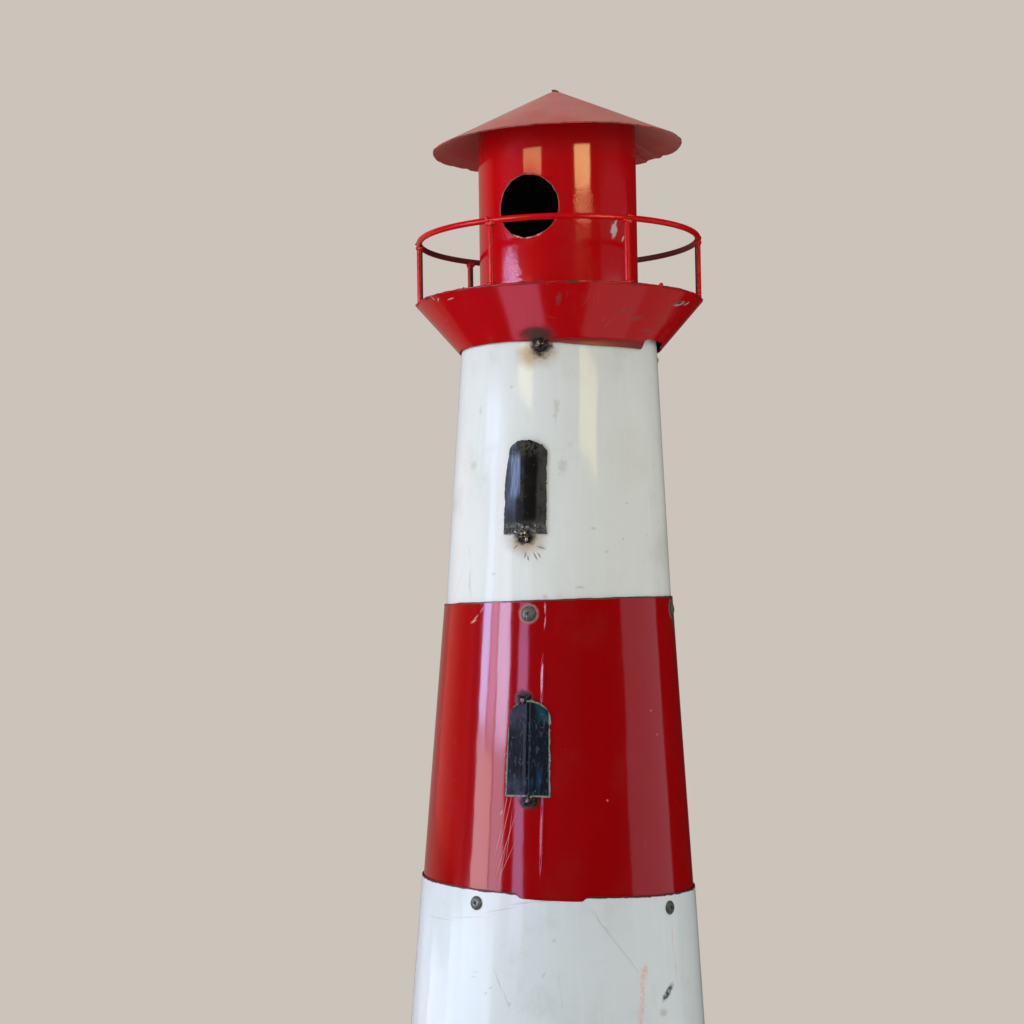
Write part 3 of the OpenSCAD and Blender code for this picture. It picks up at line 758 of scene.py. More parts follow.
class LIGHTHOUSE_OT_lantern(bpy.types.Operator):
    """Paints the lantern drum and makes the torch-cut lip of its porthole"""
    bl_idname = "lighthouse.lantern"
    bl_label = "Lantern"

    def execute(self, context):
        colours = paint_settings()
        paint_node("lantern_drum", self.drum_paint(colours))

        lip = Finish("porthole_lip", shade(colours.bright_red, 0.7), 0.25)
        lip.cover((0.03, 0.012, 0.01), 0.5, (lip.cloud(5, 4), 0.45, 0.6, 0, 0.8))
        lowest = ON_GALLERY @ Vector((0, -DRUM_R, PORTHOLE_Z - PORTHOLE_R))
        low = lip.vector("LENGTH", lip.vector("SUBTRACT", lip.place, tuple(lowest)))
        lip.cover((0.62, 0.3, 0.26), 0.35, (low, 17 * MM, 9 * MM), (lip.cloud(2.5, 2), 0.45, 0.55))
        lip.uneven((lip.cloud(1.5, 3), 0.25))
        piece(hoop(8, 300, self.lip), "porthole_lip", lip.done(), "red_paint", sharp=SMOOTH_ALL)
        return {"FINISHED"}

    def lip(self, way, out, side):
        """Point of the bead round the porthole."""
        spot = way.to_3d()
        rag = noise.noise(spot * 5) + 0.7 * noise.noise(spot * 13) + 0.4 * noise.noise(spot * 31)
        thick = (0.75 + 0.3 * noise.noise(spot * 9 + Vector((0, 0, 4)))) * MM
        bite = sheet_settings().bite * (0.35 + 0.6 * rag)
        x, z = (PORTHOLE_R + 0.5 * MM - bite + out * thick) * way
        y = math.sqrt(DRUM_R ** 2 - x ** 2) - 0.35 * MM + side * thick * 0.9
        return ON_GALLERY @ Vector((x, -y, PORTHOLE_Z + z))

    def drum_paint(self, colours):
        paint = gloss_paint("drum_paint", colours.bright_red, 0.08, 0.1, 0.12)
        chips = ((65.6, 1028, 80, 6.5, 3), (67.5, 1035, 60, 3, 1.2), (75.4, 1022.5, 60, 3, 1.1))
        paint.wear(on_drum, chips, (0.3, 1.0, 3), colours.primer, 0.4, lift=-0.1)
        grainy = paint.marks(on_drum, ((-16, 990, 9, 16), (41, 1047, 8, 13)), 0.6)
        paint.uneven((paint.times(grainy, paint.cloud(1.3, 3)), 0.3))
        specks(paint, (0.5, 0.1, 0.08), 8, 0.15, 0.05, 0.35)
        hairlines(paint, (0.5, 0.12, 0.08), 40, 0.4, 0.0025, 0.62)
        # Painted shade: the top of the drum is darkened under the roof's eave.
        high = paint.node("SeparateXYZ", {0: paint.place}).outputs["Z"]
        paint.cover((0.15, 0.0, 0.0), 0.2, (high, 1085 * MM, 1108 * MM, 0, 0.3))
        # Painted shade: the drum's inner faces and the parts of it within are painted near black.
        away = paint.off_axis(*(ON_GALLERY @ Vector((0, 0, DRUM_Z + 70 * MM))).xy)
        outward, across = paint.vector("DOT_PRODUCT", paint.normal, away), paint.vector("LENGTH", away)
        paint.cover(colours.soot_and_inner_shade, 0.8, (outward, -0.02, -0.03))
        paint.cover(colours.soot_and_inner_shade, 0.8, (across, DRUM_R - 2.6 * MM, DRUM_R - 3.2 * MM))
        return paint.done(0.9)


class LIGHTHOUSE_OT_roof(bpy.types.Operator):
    """Makes the cone roof with its hand-cut rim and burnt tip"""
    bl_idname = "lighthouse.roof"
    bl_label = "Roof"

    # Nicks in the rim: turn, half their width in degrees and depth in millimetres
    NICKS = ((66, 3, 1.1), (74, 2.2, 0.9), (80, 2.5, 1.3), (96, 3, 0.9), (-40, 3, 0.8),
             (-52, 2, 0.9), (20, 4, 0.6), (140, 3, 1), (200, 4, 0.9), (252, 3, 1.1))
    # Drops of weld on the tip, in millimetres: X, Y, height over the tip and size
    TIP_DROPS = ((-0.8, 0, -0.4, 3.6), (1.6, 0.5, -1.2, 3), (0.2, -1, -1.0, 3),
                 (-2.6, 0.4, -2.2, 2.4), (3.4, -0.5, -2.7, 2.2))

    def execute(self, context):
        colours = paint_settings()
        piece(rolled_sheet(self.cone, 40, ROOF_R), "roof_sheet", self.paint(colours), "roof_paint",
              "roof_cone")

        mesh = bmesh.new()
        for number, (x, y, z, size) in enumerate(self.TIP_DROPS):
            at = beside(ON_DRUM @ Matrix.Translation((0, 0, ROOF_TIP_Z)), x, y, z)
            lump(mesh, at, (size, size, 2.2), number * 3.1, 0.45)
        piece(mesh, "tip_weld", weld_finish("tip_weld", (0.26, 0.04, 0.03)), "weld_steel",
              sharp=SMOOTH_ALL)
        return {"FINISHED"}

    def cone(self, turn, share, lap):
        """Point of the roof's outer face, from its rim to its tip."""
        rag = 0.1 + 0.3 * ragged(turn, 1.5, 14) + 0.2 * ragged(turn, 6, 3)
        edge = ROOF_R - sheet_settings().rim * rag
        for at, width, depth in self.NICKS:
            edge -= depth * MM * smooth(abs(turns_apart(turn, at)), width, 0)
        reach = edge * (1 - share)
        z = ROOF_TIP_Z - reach * math.tan(math.radians(ROOF_PITCH))
        z += lap * SHEET * smooth(reach, 4 * MM, 12 * MM)
        z += 3 * wave(turn, share * 0.1) * smooth(reach, 10 * MM, 60 * MM)
        z -= 0.9 * MM * smooth(reach, 5 * MM, 0)
        z += 0.8 * MM * ragged(turn, 12, 25) * smooth(reach, 85 * MM, ROOF_R)
        return ON_DRUM @ point(turn, reach, z)

    def paint(self, colours):
        paint = gloss_paint("roof_paint", colours.roof_red, 0.3, 0.2)
        up = paint.up()
        top, under = (up, 0, 0.4), (up, 0, -0.4)
        dusty, fine = paint.cloud(70, 6, roughness=0.62), paint.cloud(4, 5, roughness=0.7)
        paint.cover(colours.dust, 0.5, (dusty, 0.25, 0.75, 0, 0.45), top)
        paint.cover((0.5, 0.36, 0.3), 0.6, (fine, 0.45, 0.75, 0, 0.35), top)
        hairlines(paint, (0.5, 0.34, 0.3), 35, 0.5, 0.003, 0.5, None)
        across = paint.vector("LENGTH", paint.off_axis(*(ON_DRUM @ Vector((0, 0, 1110 * MM))).xy))
        paint.cover((0.42, 0.008, 0.006), 0.42, (*under, 0, 0.95))
        # Painted light: the underside is paler towards the rim, where light reaches under the roof.
        paint.cover((0.4, 0.09, 0.08), 0.42, under, (across, 93 * MM, 97 * MM, 0, 0.4))
        # Painted shade: the underside over the inside of the drum is painted near black.
        paint.cover(colours.soot_and_inner_shade, 0.8, under, (across, DRUM_R, DRUM_R - 2 * MM))
        cut = paint.sum("MULTIPLY_ADD", paint.cloud(6, 4), 2.2 * MM, across)
        paint.cover((0.12, 0.014, 0.012), 0.5, (cut, ROOF_R + 0.3 * MM, ROOF_R + 0.8 * MM))
        paint.cover((0.12, 0.02, 0.015), 0.5, (across, 9 * MM, 2 * MM, 0, 0.8))
        paint.uneven((paint.cloud(20, 3), 0.15))
        return paint.done(0.3, 0.15)


class LIGHTHOUSE_OT_rail(bpy.types.Operator):
    """Paints the rail and makes its weld beads"""
    bl_idname = "lighthouse.rail"
    bl_label = "Rail"

    # Beads at the drum's foot: turn and width in millimetres
    FOOT_BEADS = ((-28, 9), (11, 7), (25, 8), (60, 6), (96, 8), (141, 7), (190, 9), (236, 7),
                  (290, 8))
    # Drops on the deck: turn, and in millimetres the way in from its edge, height and size
    DECK_DROPS = ((65.5, 1.2, 0.2, 3.8), (34, 3, 1, 1.8), (-20, 6, 1, 2), (150, 2, 1.2, 3))

    def execute(self, context):
        colours = paint_settings()
        rods = self.rod_paint(colours)
        for node in ["rail_ring"] + [f"rail_post_{number}" for number in range(1, 7)]:
            paint_node(node, rods)

        mesh = bmesh.new()
        for number, turn in enumerate(POST_TURNS):
            lump(mesh, on_gallery(turn, RAIL_R, RAIL_Z - 2.2 * MM), (9, 6, 6.6), number * 2.3, 0.4)
            side = on_gallery(turn, RAIL_R + 1.4 * MM, RAIL_Z + 0.8 * MM)
            lump(mesh, beside(side, 1.8 * (-1) ** number, 0), (5, 4, 4), number * 4.1 + 1, 0.5)
            foot = on_gallery(turn, RAIL_R, DRUM_Z + 0.8 * MM)
            lump(mesh, foot, (9, 4, 7.6), number * 1.9 + 5, 0.4)
        weld = gloss_paint("rail_weld_paint", colours.bright_red, 0.18, 0.2)
        weld.cover((0.08, 0.02, 0.018), 0.4, (weld.cloud(4, 5), 0.6, 0.7))
        weld.cover((0.6, 0.25, 0.25), 0.3, (weld.cloud(2, 3), 0.66, 0.7))
        weld.uneven((weld.cloud(1.5, 3), 0.4))
        painted = weld.done(0.35)
        piece(mesh, "rail_welds", painted, "red_paint", sharp=SMOOTH_ALL)

        mesh = bmesh.new()
        for number, (turn, width) in enumerate(self.FOOT_BEADS):
            foot = on_gallery(turn, DRUM_R + 0.3 * MM, DRUM_Z + 0.8 * MM)
            lump(mesh, foot, (width, 3.6, 3.4), number * 2.9 + 2, 0.45)
        for number, (turn, inwards, rise, size) in enumerate(self.DECK_DROPS):
            at = on_gallery(turn, DECK_R - inwards * MM, DRUM_Z + rise * MM)
            lump(mesh, at, (size,) * 3, number * 5.3, 0.2)
        piece(mesh, "drum_foot_welds", painted, "red_paint", sharp=SMOOTH_ALL)
        return {"FINISHED"}

    def rod_paint(self, colours):
        """Red paint, with painted shade on the side of the rods that faces the tower."""
        paint = gloss_paint("rail_paint", colours.bright_red, 0.16, 0.15)
        # Painted shade: the rods' side that faces the tower is painted dark brown.
        outward = paint.vector("DOT_PRODUCT", paint.normal,
                               paint.vector("NORMALIZE", paint.off_axis()))
        bare = paint.sum("MULTIPLY_ADD", paint.cloud(6, 4), 0.5, outward)
        paint.cover((0.05, 0.022, 0.018), 0.45, (bare, 0.15, -0.1, 0, 0.85))
        specks(paint, (0.1, 0.03, 0.03), 5, 0.3, 0.12)
        paint.uneven((paint.cloud(4, 3), 0.35))
        return paint.done(0.25)


class LIGHTHOUSE_OT_windows(bpy.types.Operator):
    """Makes the two window plates with their torch-cut edges"""
    bl_idname = "lighthouse.windows"
    bl_label = "Window plates"

    # Sizes of both plates, in millimetres
    HEIGHT = 77
    ARCH = 17.6
    HALF_FOOT = 18.6
    HALF_TOP = 18
    BEND = 46                   # radius of the upper plate
    BEND_AXIS = -42.74          # place of that radius' middle behind the wall

    def execute(self, context):
        # Angles round the arch at which the drops of slag hang
        close = [-1.4 + 0.1 * k for k in range(29)]
        wide = [-1.4 + 0.31 * k for k in range(10)]
        knobs = [(math.sin(a) * (15.8 - 2.2 * (i % 3)),
                  63.7 + 12 * math.cos(a) - (i % 4) * 1.5 + 2 * max(0, math.sin(a)),
                  1.3 + (i * 7 % 5) * 0.22) for i, a in enumerate(close)]
        knobs += [(-17 + 2.3 * k, 1 + 0.9 * (k % 2), 1.5 + (k * 3 % 4) * 0.25) for k in range(15)]
        knobs += [(16.6, 68, 1.6), (17.6, 41, 1), (17.8, 12, 0.9), (-17.4, 33, 1.1)]
        at = WALLS["upper_white"].at(4.9, 774 * MM)
        mesh = self.plate(at, self.rounded, 1.5, 0.9 * MM, 3.2 * MM, 0.87)
        self.slag(mesh, at, self.rounded, 2.2, 3.2 * MM, knobs)
        piece(mesh, "upper_window_sheet", self.upper_steel(at), "blued_steel", "upper_window_plate")

        knobs = [(math.sin(a) * 16.2, 63.1 + 12.3 * math.cos(a), 0.9 + (i * 7 % 5) * 0.12)
                 for i, a in enumerate(wide)]
        knobs += [(17.6, 21, 1), (-17.7, 34, 1.1), (17.3, 53, 0.9), (-17.9, 12, 1.2)]
        knobs += [(-16.5 + 5.1 * k, 0.6, 1.1) for k in range(7)]
        at = WALLS["upper_red"].at(9.2, 564 * MM)
        mesh = self.plate(at, self.folded, 7.5, 0.8 * MM, 1.6 * MM, 0.95)
        self.slag(mesh, at, self.folded, 9.2, 1.6 * MM, knobs)
        piece(mesh, "lower_window_sheet", self.lower_steel(at), "blued_steel", "lower_window_plate")
        return {"FINISHED"}

    def rounded(self, x):
        """Height of the upper plate's face over the wall."""
        return self.BEND_AXIS * MM + math.sqrt((self.BEND * MM) ** 2 - x ** 2)

    def folded(self, x):
        """Height of the lower plate's face over the wall: a crease down its middle."""
        edge, drop, half = -0.418 * MM, 3.93 * MM, 18.5 * MM
        return edge + drop * (1 - math.sqrt((x / half) ** 2 + 0.01))

    def plate(self, at, face, seed, crown_rag, shoulder, full):
        """An arched plate. face(x) gives the height of its outer face over the wall, shoulder is how
        far the left edge draws in at the top, and full below 1 makes the right shoulder fuller."""
        arch = self.ARCH * MM
        bite = sheet_settings().bite
        mesh = bmesh.new()
        bmesh.ops.create_grid(mesh, x_segments=44, y_segments=84, size=1)
        for vert in mesh.verts:
            across, up = vert.co.x, (vert.co.y + 1) / 2
            long, short, row = (8, 27, 5) if across < 0 else (9, 31, 0)
            side = bumps(up * long, seed, row) + 0.5 * bumps(up * short, seed, row + 2)
            half = self.HALF_FOOT + (self.HALF_TOP - self.HALF_FOOT) * min(1, up * 1.2)
            x = across * half * MM + self.drawn_in(across, up, shoulder)
            x += across * abs(across) ** 8 * bite * (side - 0.5)
            top = math.sqrt(max(0, arch ** 2 - (x if x < 0 else x * full) ** 2))
            top += self.HEIGHT * MM - arch + crown_rag * bumps(across * 5, seed, 11) - 0.3 * MM
            low = 0.5 * MM * bumps(across * 6, seed, 17)
            y = low + (top - low) * up
            dents = 0.35 * MM * bumps(x / MM / 11, y / MM / 15, seed)
            vert.co = at @ Vector((x, y, face(x) + dents * smooth(abs(across), 1, 0.7)))
        out = (at.to_3x3() @ Vector((0, 0, 1))).normalized()
        face_out(mesh, lambda spot: out)
        bmesh.ops.solidify(mesh, geom=mesh.faces[:], thickness=SHEET)
        return mesh

    def drawn_in(self, across, up, shoulder):
        """How far the left edge draws in at a share of the width and of the height."""
        return shoulder * smooth(up, 0.62, 1) * across ** 2 if across < 0 else 0

    def slag(self, mesh, at, face, seed, shoulder, spots):
        """Adds drops of slag along a plate's edge: X, Y and size of each, in millimetres."""
        for number, (x, y, size) in enumerate(spots):
            x += self.drawn_in(x / 17, y / self.HEIGHT, shoulder) / MM
            spot = beside(at, x, y, face(x * MM) / MM - 0.3)
            lump(mesh, spot, (size * 1.3, size, size * 0.7), seed + number * 1.7, 0.5, 2)

    def places(self, steel, at):
        """Places on a plate in millimetres: X across it and Y up from its foot."""
        local = steel.node("Mapping", {"Vector": steel.place, "Location": at.to_translation(),
                                       "Rotation": at.to_euler(), "Scale": (MM, MM, MM)},
                           vector_type="TEXTURE")
        return steel.node("SeparateXYZ", {0: local.outputs[0]}).outputs

    def side_edge(self, steel, x, y, start, full):
        """Mask over a plate's long edges, which draw in towards the top."""
        off = steel.sum("MULTIPLY_ADD", y, 0.02, steel.sum("ABSOLUTE", x))
        return steel.between(off, start, full)

    def upper_steel(self, at):
        """Torch-blackened steel with a painted blue reflection on the left."""
        steel = Finish("upper_plate_steel", (0.014, 0.015, 0.016), 0.3)
        x, y, _ = self.places(steel, at)
        streak = steel.cloud(2.2, 4, (1, 1, 0.12))
        steel.cover((0.034, 0.034, 0.037), 0.5, (steel.cloud(7, 5), 0.45, 0.65, 0, 0.7))
        steel.cover((0.045, 0.042, 0.04), 0.5, (x, 6, 10),
                    (steel.cloud(5, 5, (1, 1, 0.4)), 0.35, 0.6, 0.2, 1))
        # Painted reflection: a dull blue sheen over the left of the plate.
        steel.cover((0.08, 0.1, 0.155), 0.35, (x, -6, -8), (y, 12, 34, 0.25, 1),
                    (streak, 0.35, 0.6, 0.35, 1))
        # Painted reflection: the brightest blue streak of that sheen.
        steel.cover((0.16, 0.21, 0.34), 0.35, (steel.apart(x, -8.2), 5.2, 3), (y, 26, 35),
                    (y, 70, 60), (streak, 0.3, 0.55, 0.3, 1))
        # Painted dark reflection: a near-black stripe down the middle of the plate.
        steel.cover((0.003, 0.003, 0.003), 0.35, (steel.apart(x, 5), 6.8, 4, 0, 0.9), (y, 8, 14))
        edge = steel.most(steel.between(y, 60, 72), steel.between(y, 12, 7),
                          self.side_edge(steel, x, y, 14, 17))
        edge = steel.times(edge, steel.between(steel.cloud(2.2, 4), 0.42, 0.6))
        steel.layer(edge, (0.045, 0.047, 0.039), 0.45)
        steel.cover((0.11, 0.105, 0.095), 0.35, (y, 11, 5), (steel.cloud(3.2, 3), 0.47, 0.6))
        # Painted highlights: pale glints on the spatter near the foot.
        steel.cover((0.4, 0.4, 0.38), 0.3, (y, 10, 7), (steel.cloud(2.4, 2), 0.64, 0.7))
        specks(steel, (0.16, 0.17, 0.16), 2.2, 0.2, 0.14)
        steel.uneven((steel.cloud(1.5, 4), 0.14), (streak, 0.12))
        return steel.done(0.04)

    def lower_steel(self, at):
        """Blued steel with a pale ground edge, slate left of the crease, a painted teal reflection
        right of it, and painted shade and highlights along the crease.
        """
        steel = Finish("lower_plate_steel", paint_settings().blued, 0.3)
        x, y, _ = self.places(steel, at)
        ends = steel.most(steel.between(y, 44, 66), steel.between(y, 22, 4))
        slate = steel.steps((x, 1, -1), (steel.cloud(8, 5), 0.35, 0.65, 0.3, 1))
        steel.layer(steel.times(slate, ends), (0.036, 0.041, 0.066), 0.4)
        # Painted reflection: teal on the face right of the crease.
        teal = ((x, 1.5, 4), (steel.cloud(6, 3, (1.4, 1.4, 0.3)), 0.46, 0.58),
                (steel.cloud(1.8, 3, (1, 1, 0.15)), 0.35, 0.6, 0.35, 1))
        steel.cover((0.008, 0.045, 0.06), 0.35, *teal, (y, 50, 62, 0.12, 1))
        steel.cover((0.01, 0.035, 0.085), 0.35, *teal, (y, 26, 16))
        # Painted shade down the crease, with painted highlights in thin lines beside it.
        for place, width, share, colour in ((-2.6, 1.6, 0.5, (0.05, 0.06, 0.09)),
                                            (-0.2, 1.3, 0.95, (0.002, 0.003, 0.006)),
                                            (1.4, 0.6, 0.5, (0.04, 0.08, 0.1))):
            steel.cover(colour, 0.4, (steel.apart(x, place), width, width * 0.5, 0, share),
                        (steel.cloud(9, 3), 0.35, 0.5, 0.3, 1))
        crown = steel.sum("MULTIPLY_ADD", steel.sum("POWER", x, 2), 0.027, y)
        edge = steel.most(self.side_edge(steel, x, y, 17, 17.8), steel.between(y, 1.8, 0.9),
                          steel.between(crown, 74.8, 75.8))
        edge = steel.times(edge, steel.between(steel.cloud(3, 4), 0.3, 0.48))
        steel.layer(edge, (0.21, 0.24, 0.2), 0.45)
        steel.cover((0.05, 0.065, 0.095), 0.4,
                    (steel.cloud(2, 4, (1, 1, 0.35)), 0.54, 0.68, 0, 0.7))
        specks(steel, (0.3, 0.3, 0.32), 3.4, 0.3, 0.09)
        steel.uneven((steel.cloud(1.8, 4), 0.12), (steel.cloud(9, 3), 0.3))
        return steel.done(0.03)


class LIGHTHOUSE_OT_welds(bpy.types.Operator):
    """Makes the tacks that hold the skirt and the window plates"""
    bl_idname = "lighthouse.welds"
    bl_label = "Weld tacks"

    # Tacks of the window plates: piece, node, wall, turn, height in millimetres and which way up
    WINDOW_TACKS = (
        ("upper_window_weld", "upper_window_tack", "upper_white", 4.9, 773, -1),
        ("lower_window_weld_foot", "lower_window_tack_foot", "upper_red", 10.2, 563, -1),
        ("lower_window_weld_top", "lower_window_tack_top", "upper_red", 6.8, 639, 1),
    )
    # Smaller drops on a tack, in millimetres: X, Y and size
    SKIRT_DROPS = ((-5.4, 3.4, 4), (-3.2, 5.4, 3.4), (4.8, 4, 4), (5.6, -1, 2.6))
    WINDOW_DROPS = ((-3.6, 2.4, 3.4), (3.4, 3, 3.8), (4.4, -0.5, 2.6), (-3, -2.2, 3))
    # Bright spatter on each of the window tacks, in the same order
    SPATTER = (((2.6, -3.6, 3), (-1.8, 0.8, 2.2), (1.4, 1.6, 2)), ((-1.4, -2.4, 1.8), (1.8, 1, 1.6)),
               ((0.6, 1.4, 1.6),))

    def execute(self, context):
        # Sooted black weld metal for the tacks.
        soot_and_inner_shade = weld_finish("tack_steel", (0.014, 0.013, 0.014))
        for number, turn in enumerate(SKIRT_TACK_TURNS, 1):
            at = beside(WALLS["upper_white"].at(turn, 929 * MM), 0, 0, 1.8)
            mesh = bmesh.new()
            lump(mesh, at, (11.5, 11, 10.5), number * 7.3, 0.12, 4)
            for x, y, size in self.SKIRT_DROPS:
                lump(mesh, beside(at, x, y), (size, size, 3.4), x + number, 0.4)
            piece(mesh, f"skirt_weld_{number}", soot_and_inner_shade, "weld_steel", f"skirt_tack_{number}",
                  sharp=SMOOTH_ALL)
        for name, node, wall, turn, z, up in self.WINDOW_TACKS:
            at = beside(WALLS[wall].at(turn, z * MM), 0, up * 1.5, 1.2)
            mesh = bmesh.new()
            seed = z / 10
            lump(mesh, at, (8.5, 7.5, 6.5), seed, 0.3, 4)
            for x, y, size in self.WINDOW_DROPS:
                lump(mesh, beside(at, x, y * up, 0.4), (size, size, 3), x + seed, 0.45)
            piece(mesh, name, soot_and_inner_shade, "weld_steel", node, sharp=SMOOTH_ALL)

        bright = Finish("bright_steel", (0.42, 0.42, 0.4), 0.3, 0.8)
        bright.cover((0.05, 0.05, 0.05), 0.5, (bright.cloud(2.5, 3), 0.5, 0.6))
        bright.uneven((bright.cloud(1.5, 3), 0.3))
        mesh = bmesh.new()
        for (_, _, wall, turn, z, _), drops in zip(self.WINDOW_TACKS, self.SPATTER):
            for x, y, size in drops:
                at = beside(WALLS[wall].at(turn, z * MM), x, y, 3.4)
                lump(mesh, at, (size, size * 1.3, 2.2), x + z, 0.5)
        piece(mesh, "weld_spatter", bright.done(), "weld_steel", sharp=SMOOTH_ALL)
        return {"FINISHED"}


class LIGHTHOUSE_OT_rivets(bpy.types.Operator):
    """Gives the blind rivets their dull steel"""
    bl_idname = "lighthouse.rivets"
    bl_label = "Rivets"

    def execute(self, context):
        steel = Finish("rivet_steel", paint_settings().steel, 0.42, 0.6)
        steel.cover((0.07, 0.08, 0.06), 0.55, (steel.cloud(5, 5), 0.42, 0.62), metal=0.3)
        steel.cover((0.4, 0.4, 0.37), 0.35, (steel.cloud(1.5, 3), 0.6, 0.7))
        steel.uneven((steel.cloud(1.2, 4), 0.12))
        material = steel.done()
        for joint in ("upper", "middle", "lower"):
            for number in range(1, 5):
                paint_node(f"{joint}_rivet_{number}", material)
        return {"FINISHED"}


class LIGHTHOUSE_OT_studio(bpy.types.Operator):
    """Lays the floor and sets the lights, the backdrop and the camera"""
    bl_idname = "lighthouse.studio"
    bl_label = "Studio"

    # Panels that show only as reflections in the gloss: turn from the camera, distance, low and
    # high edge, width in degrees, brightness, colour and how far it is rolled over
    PANELS = (
        ("cool_edge", -82, 2.5, 1.2, 1.355, 10, 15, (0.5, 0.5, 1.0), 0),
        ("cool_outer", -73.5, 2.5, 0.78, 1.38, 8, 16.5, (0.5, 0.58, 1.0), 0),
        ("cool_middle", -64.5, 2.5, 0.78, 1.36, 8, 7.5, (0.95, 0.62, 0.95), 0),
        ("cool_inner", -53.5, 2.5, 0.78, 1.25, 12, 14, (0.68, 0.66, 1.0), 0),
        ("cool_high", -67, 2.5, 1.27, 1.345, 14, 7, (0.1, 0.4, 1.0), 0),
        ("red_left", -112, 2.5, 0.43, 1.2, 50, 0.9, (1.0, 0.08, 0.05), 0),
        ("pink_outer", -69, 2.5, 0.42, 0.76, 17, 6.2, (1.0, 0.78, 0.84), 0),
        ("pink_inner", -53.5, 2.5, 0.42, 0.76, 12, 4.5, (0.95, 0.78, 1.0), 0),
        ("low_inner", -67, 2.5, 0.02, 0.41, 30, 6.6, (0.66, 0.74, 1.0), 0),
        ("low_middle", -88.5, 2.5, 0.02, 0.36, 13, 5.1, (0.68, 0.73, 0.95), 0),
        ("low_outer", -108, 2.5, 0.02, 0.24, 26, 2.9, (0.76, 0.74, 0.92), 0),
        ("low_far", -131, 2.5, 0.02, 0.24, 18, 0.5, (0.75, 0.75, 0.95), 0),
        ("cool_narrow", -33.5, 2.5, 0.4, 1.07, 9, 5, (0.6, 0.5, 1.0), 0),
        ("amber_left", -36, 2.5, 1.58, 2.3, 27, 4.6, (1.0, 0.64, 0.3), 0),
        ("amber_right", 36, 2.5, 1.575, 2.3, 23, 6.6, (1.0, 0.7, 0.3), 0),
        ("cream_left", -35.5, 0.45, 0.965, 1.02, 16, 19, (1.0, 0.8, 0.36), 12),
        ("cream_right", 30, 0.45, 0.9, 1.012, 20, 16, (1.0, 0.8, 0.25), 14),
        ("grey_right", 86, 1.3, 0.02, 1.22, 48, 0.62, (0.8, 0.84, 1.0), 0),
        ("grey_right_high", 90, 1.3, 1.23, 1.385, 56, 0.09, (0.75, 0.75, 1.0), 0),
    )
    # Lights that show in no reflection, in the same order
    LIGHTS = (
        ("key_left", -75, 2.5, 0.05, 2.2, 50, 3.66, (0.74, 0.82, 1.0), 0),
        ("fill_front", -5, 2.5, 0.2, 2.2, 50, 0.9, (1.0, 1.0, 0.97), 0),
        ("fill_right", 80, 2.5, 0.2, 2.2, 50, 1.15, (1.0, 1.0, 0.96), 0),
    )
    # Bright stretches of floor that the skirt reflects: turn from the camera, distance, length,
    # width, turn of the long way, brightness and colour
    FLOOR_PANELS = (
        ("floor_left", -56.5, 0.45, 0.47, 0.24, -25.5, 1.9, (1.0, 0.6, 0.95)),
        ("floor_right", 81, 0.63, 0.78, 0.3, 41, 0.5, (1.0, 0.95, 1.0)),
        ("floor_far_right", 123, 1.37, 1.4, 0.5, 65, 0.25, (1.0, 0.85, 0.8)),
    )

    def execute(self, context):
        studio = context.scene.lighthouse_studio
        for reflected, boxes in ((True, self.PANELS), (False, self.LIGHTS)):
            for name, turn, far, low, high, width, brightness, colour, roll in boxes:
                across = 2 * far * math.tan(math.radians(width / 2))
                box = self.panel(name, across, high - low, brightness * studio.boxes, colour, reflected)
                box.location = point(VIEW_TURN + turn, far, (low + high) / 2)
                box.rotation_euler = [math.radians(a) for a in (90, roll, VIEW_TURN + turn)]
        for name, turn, far, length, width, along, brightness, colour in self.FLOOR_PANELS:
            box = self.panel(name, length, width, brightness * studio.boxes, colour, True)
            box.location = point(VIEW_TURN + turn, far, 4 * MM)
            box.rotation_euler = [math.radians(a) for a in (180, 0, VIEW_TURN + along)]
        overhead = self.panel("ceiling", CEILING, CEILING, 0.9 * studio.fill, (1.0, 0.97, 0.93), False)
        overhead.location = (0, 0, CEILING)
        self.surroundings(context, studio)
        mesh = bmesh.new()
        bmesh.ops.create_circle(mesh, cap_ends=True, segments=128, radius=FLOOR_R)
        data = bpy.data.meshes.new("floor")
        mesh.to_mesh(data)
        mesh.free()
        floor = bpy.data.objects.new("floor", data)
        context.scene.collection.objects.link(floor)
        data.materials.append(self.floor_material(studio))

        camera = bpy.data.cameras.new("camera")
        camera.lens, camera.sensor_width = VIEW_LENS, VIEW_SENSOR
        camera.clip_start = 0.05
        eye = bpy.data.objects.new("camera", camera)
        eye.location = point(VIEW_TURN, VIEW_DISTANCE, VIEW_HEIGHT)
        eye.rotation_euler = [math.radians(a) for a in (90 + VIEW_UP, 0, VIEW_TURN + VIEW_LEFT)]
        eye.rotation_euler.rotate_axis("Z", math.radians(VIEW_ROLL))
        context.scene.collection.objects.link(eye)
        context.scene.camera = eye
        context.scene.view_settings.view_transform = "Standard"
        return {"FINISHED"}

    def panel(self, name, width, height, brightness, colour, reflected):
        """A soft light that shows either in reflections only or in none."""
        light = bpy.data.lights.new(name, "AREA")
        light.shape = "RECTANGLE"
        light.size, light.size_y = width, height
        light.energy = brightness * math.pi * width * height
        light.color = colour
        box = bpy.data.objects.new(name, light)
        box.visible_camera = False
        box.visible_glossy = reflected
        box.visible_diffuse = not reflected
        box.visible_transmission = False
        bpy.context.scene.collection.objects.link(box)
        return box

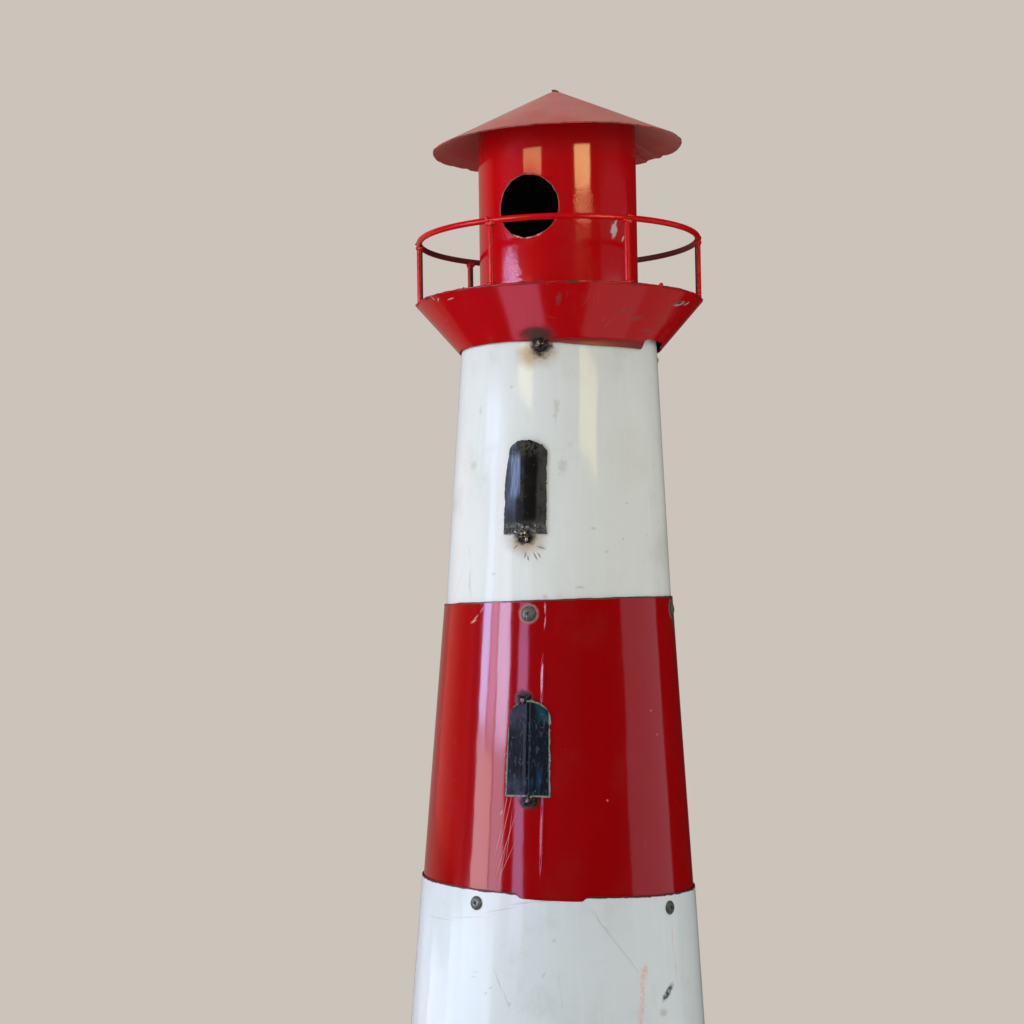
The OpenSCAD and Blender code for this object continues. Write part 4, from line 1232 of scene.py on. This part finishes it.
    def surroundings(self, context, studio):
        """Backdrop for the camera, dim surroundings in the gloss and an even light elsewhere."""
        world = bpy.data.worlds.new("studio")
        context.scene.world = world
        nodes = Nodes(world)
        path = nodes.node("LightPath").outputs
        behind = nodes.vector("DOT_PRODUCT", nodes.node("TexCoord").outputs["Generated"],
                              point(VIEW_TURN - 150, 1, 0))
        glow = nodes.node("MapRange", {0: behind, 1: 0.68, 2: 0.95, 3: 0.02, 4: 0.52}).outputs[0]
        dim = nodes.shader("Background", {0: (0.66, 0.47, 0.4), 1: glow})
        even = nodes.shader("Background", {0: (0.47, 0.47, 0.46), 1: studio.fill})
        pale = nodes.shader("Background", {0: studio.backdrop})
        lit = nodes.shader("MixShader", {0: path["Is Glossy Ray"], 1: even, 2: dim})
        seen = nodes.most(path["Is Camera Ray"], path["Is Transmission Ray"])
        nodes.node("OutputWorld", {0: nodes.shader("MixShader", {0: seen, 1: lit, 2: pale})})

    def floor_material(self, studio):
        """Pale floor that passes into the backdrop's colour away from the ornament."""
        made = bpy.data.materials.new("floor")
        nodes = Nodes(made)
        path = nodes.node("LightPath").outputs
        away = nodes.vector("LENGTH", nodes.node("TexCoord").outputs["Object"])
        seen = nodes.times(nodes.between(away, 0.45, 1.6), path["Is Camera Ray"])
        plain = nodes.shader("BsdfDiffuse", {"Color": studio.floor})
        dim = nodes.shader("BsdfDiffuse", {"Color": (0.03, 0.03, 0.03)})
        ground = nodes.shader("MixShader", {0: path["Is Glossy Ray"], 1: plain, 2: dim})
        pale = nodes.shader("Emission", {"Color": studio.backdrop})
        nodes.node("OutputMaterial", {0: nodes.shader("MixShader", {0: seen, 1: ground, 2: pale})})
        return made


# Panel and registration

STAGES = (LIGHTHOUSE_OT_studio, LIGHTHOUSE_OT_bands, LIGHTHOUSE_OT_gallery, LIGHTHOUSE_OT_lantern,
          LIGHTHOUSE_OT_roof, LIGHTHOUSE_OT_rail, LIGHTHOUSE_OT_windows, LIGHTHOUSE_OT_welds,
          LIGHTHOUSE_OT_rivets)
SETTINGS = (("lighthouse_paint", PaintSettings), ("lighthouse_sheet", SheetSettings),
            ("lighthouse_studio", StudioSettings))


class LIGHTHOUSE_PT_panel(bpy.types.Panel):
    """Lists the ornament's settings and the operators that make its pieces"""
    bl_idname = "LIGHTHOUSE_PT_panel"
    bl_label = "Lighthouse"
    bl_space_type = "VIEW_3D"
    bl_region_type = "UI"
    bl_category = "Lighthouse"

    def draw(self, context):
        for name, group in SETTINGS:
            box = self.layout.box()
            for field in group.__annotations__:
                box.prop(getattr(context.scene, name), field)
        for stage in STAGES:
            self.layout.operator(stage.bl_idname)


CLASSES = (PaintSettings, SheetSettings, StudioSettings, *STAGES, LIGHTHOUSE_PT_panel)


def register():
    for made in CLASSES:
        bpy.utils.register_class(made)
    for name, group in SETTINGS:
        setattr(bpy.types.Scene, name, bpy.props.PointerProperty(type=group))


def unregister():
    for name, _ in SETTINGS:
        delattr(bpy.types.Scene, name)
    for made in reversed(CLASSES):
        bpy.utils.unregister_class(made)


def main():
    register()
    for stage in STAGES:
        family, name = stage.bl_idname.split(".")
        getattr(getattr(bpy.ops, family), name)()


if __name__ == "__main__":
    main()
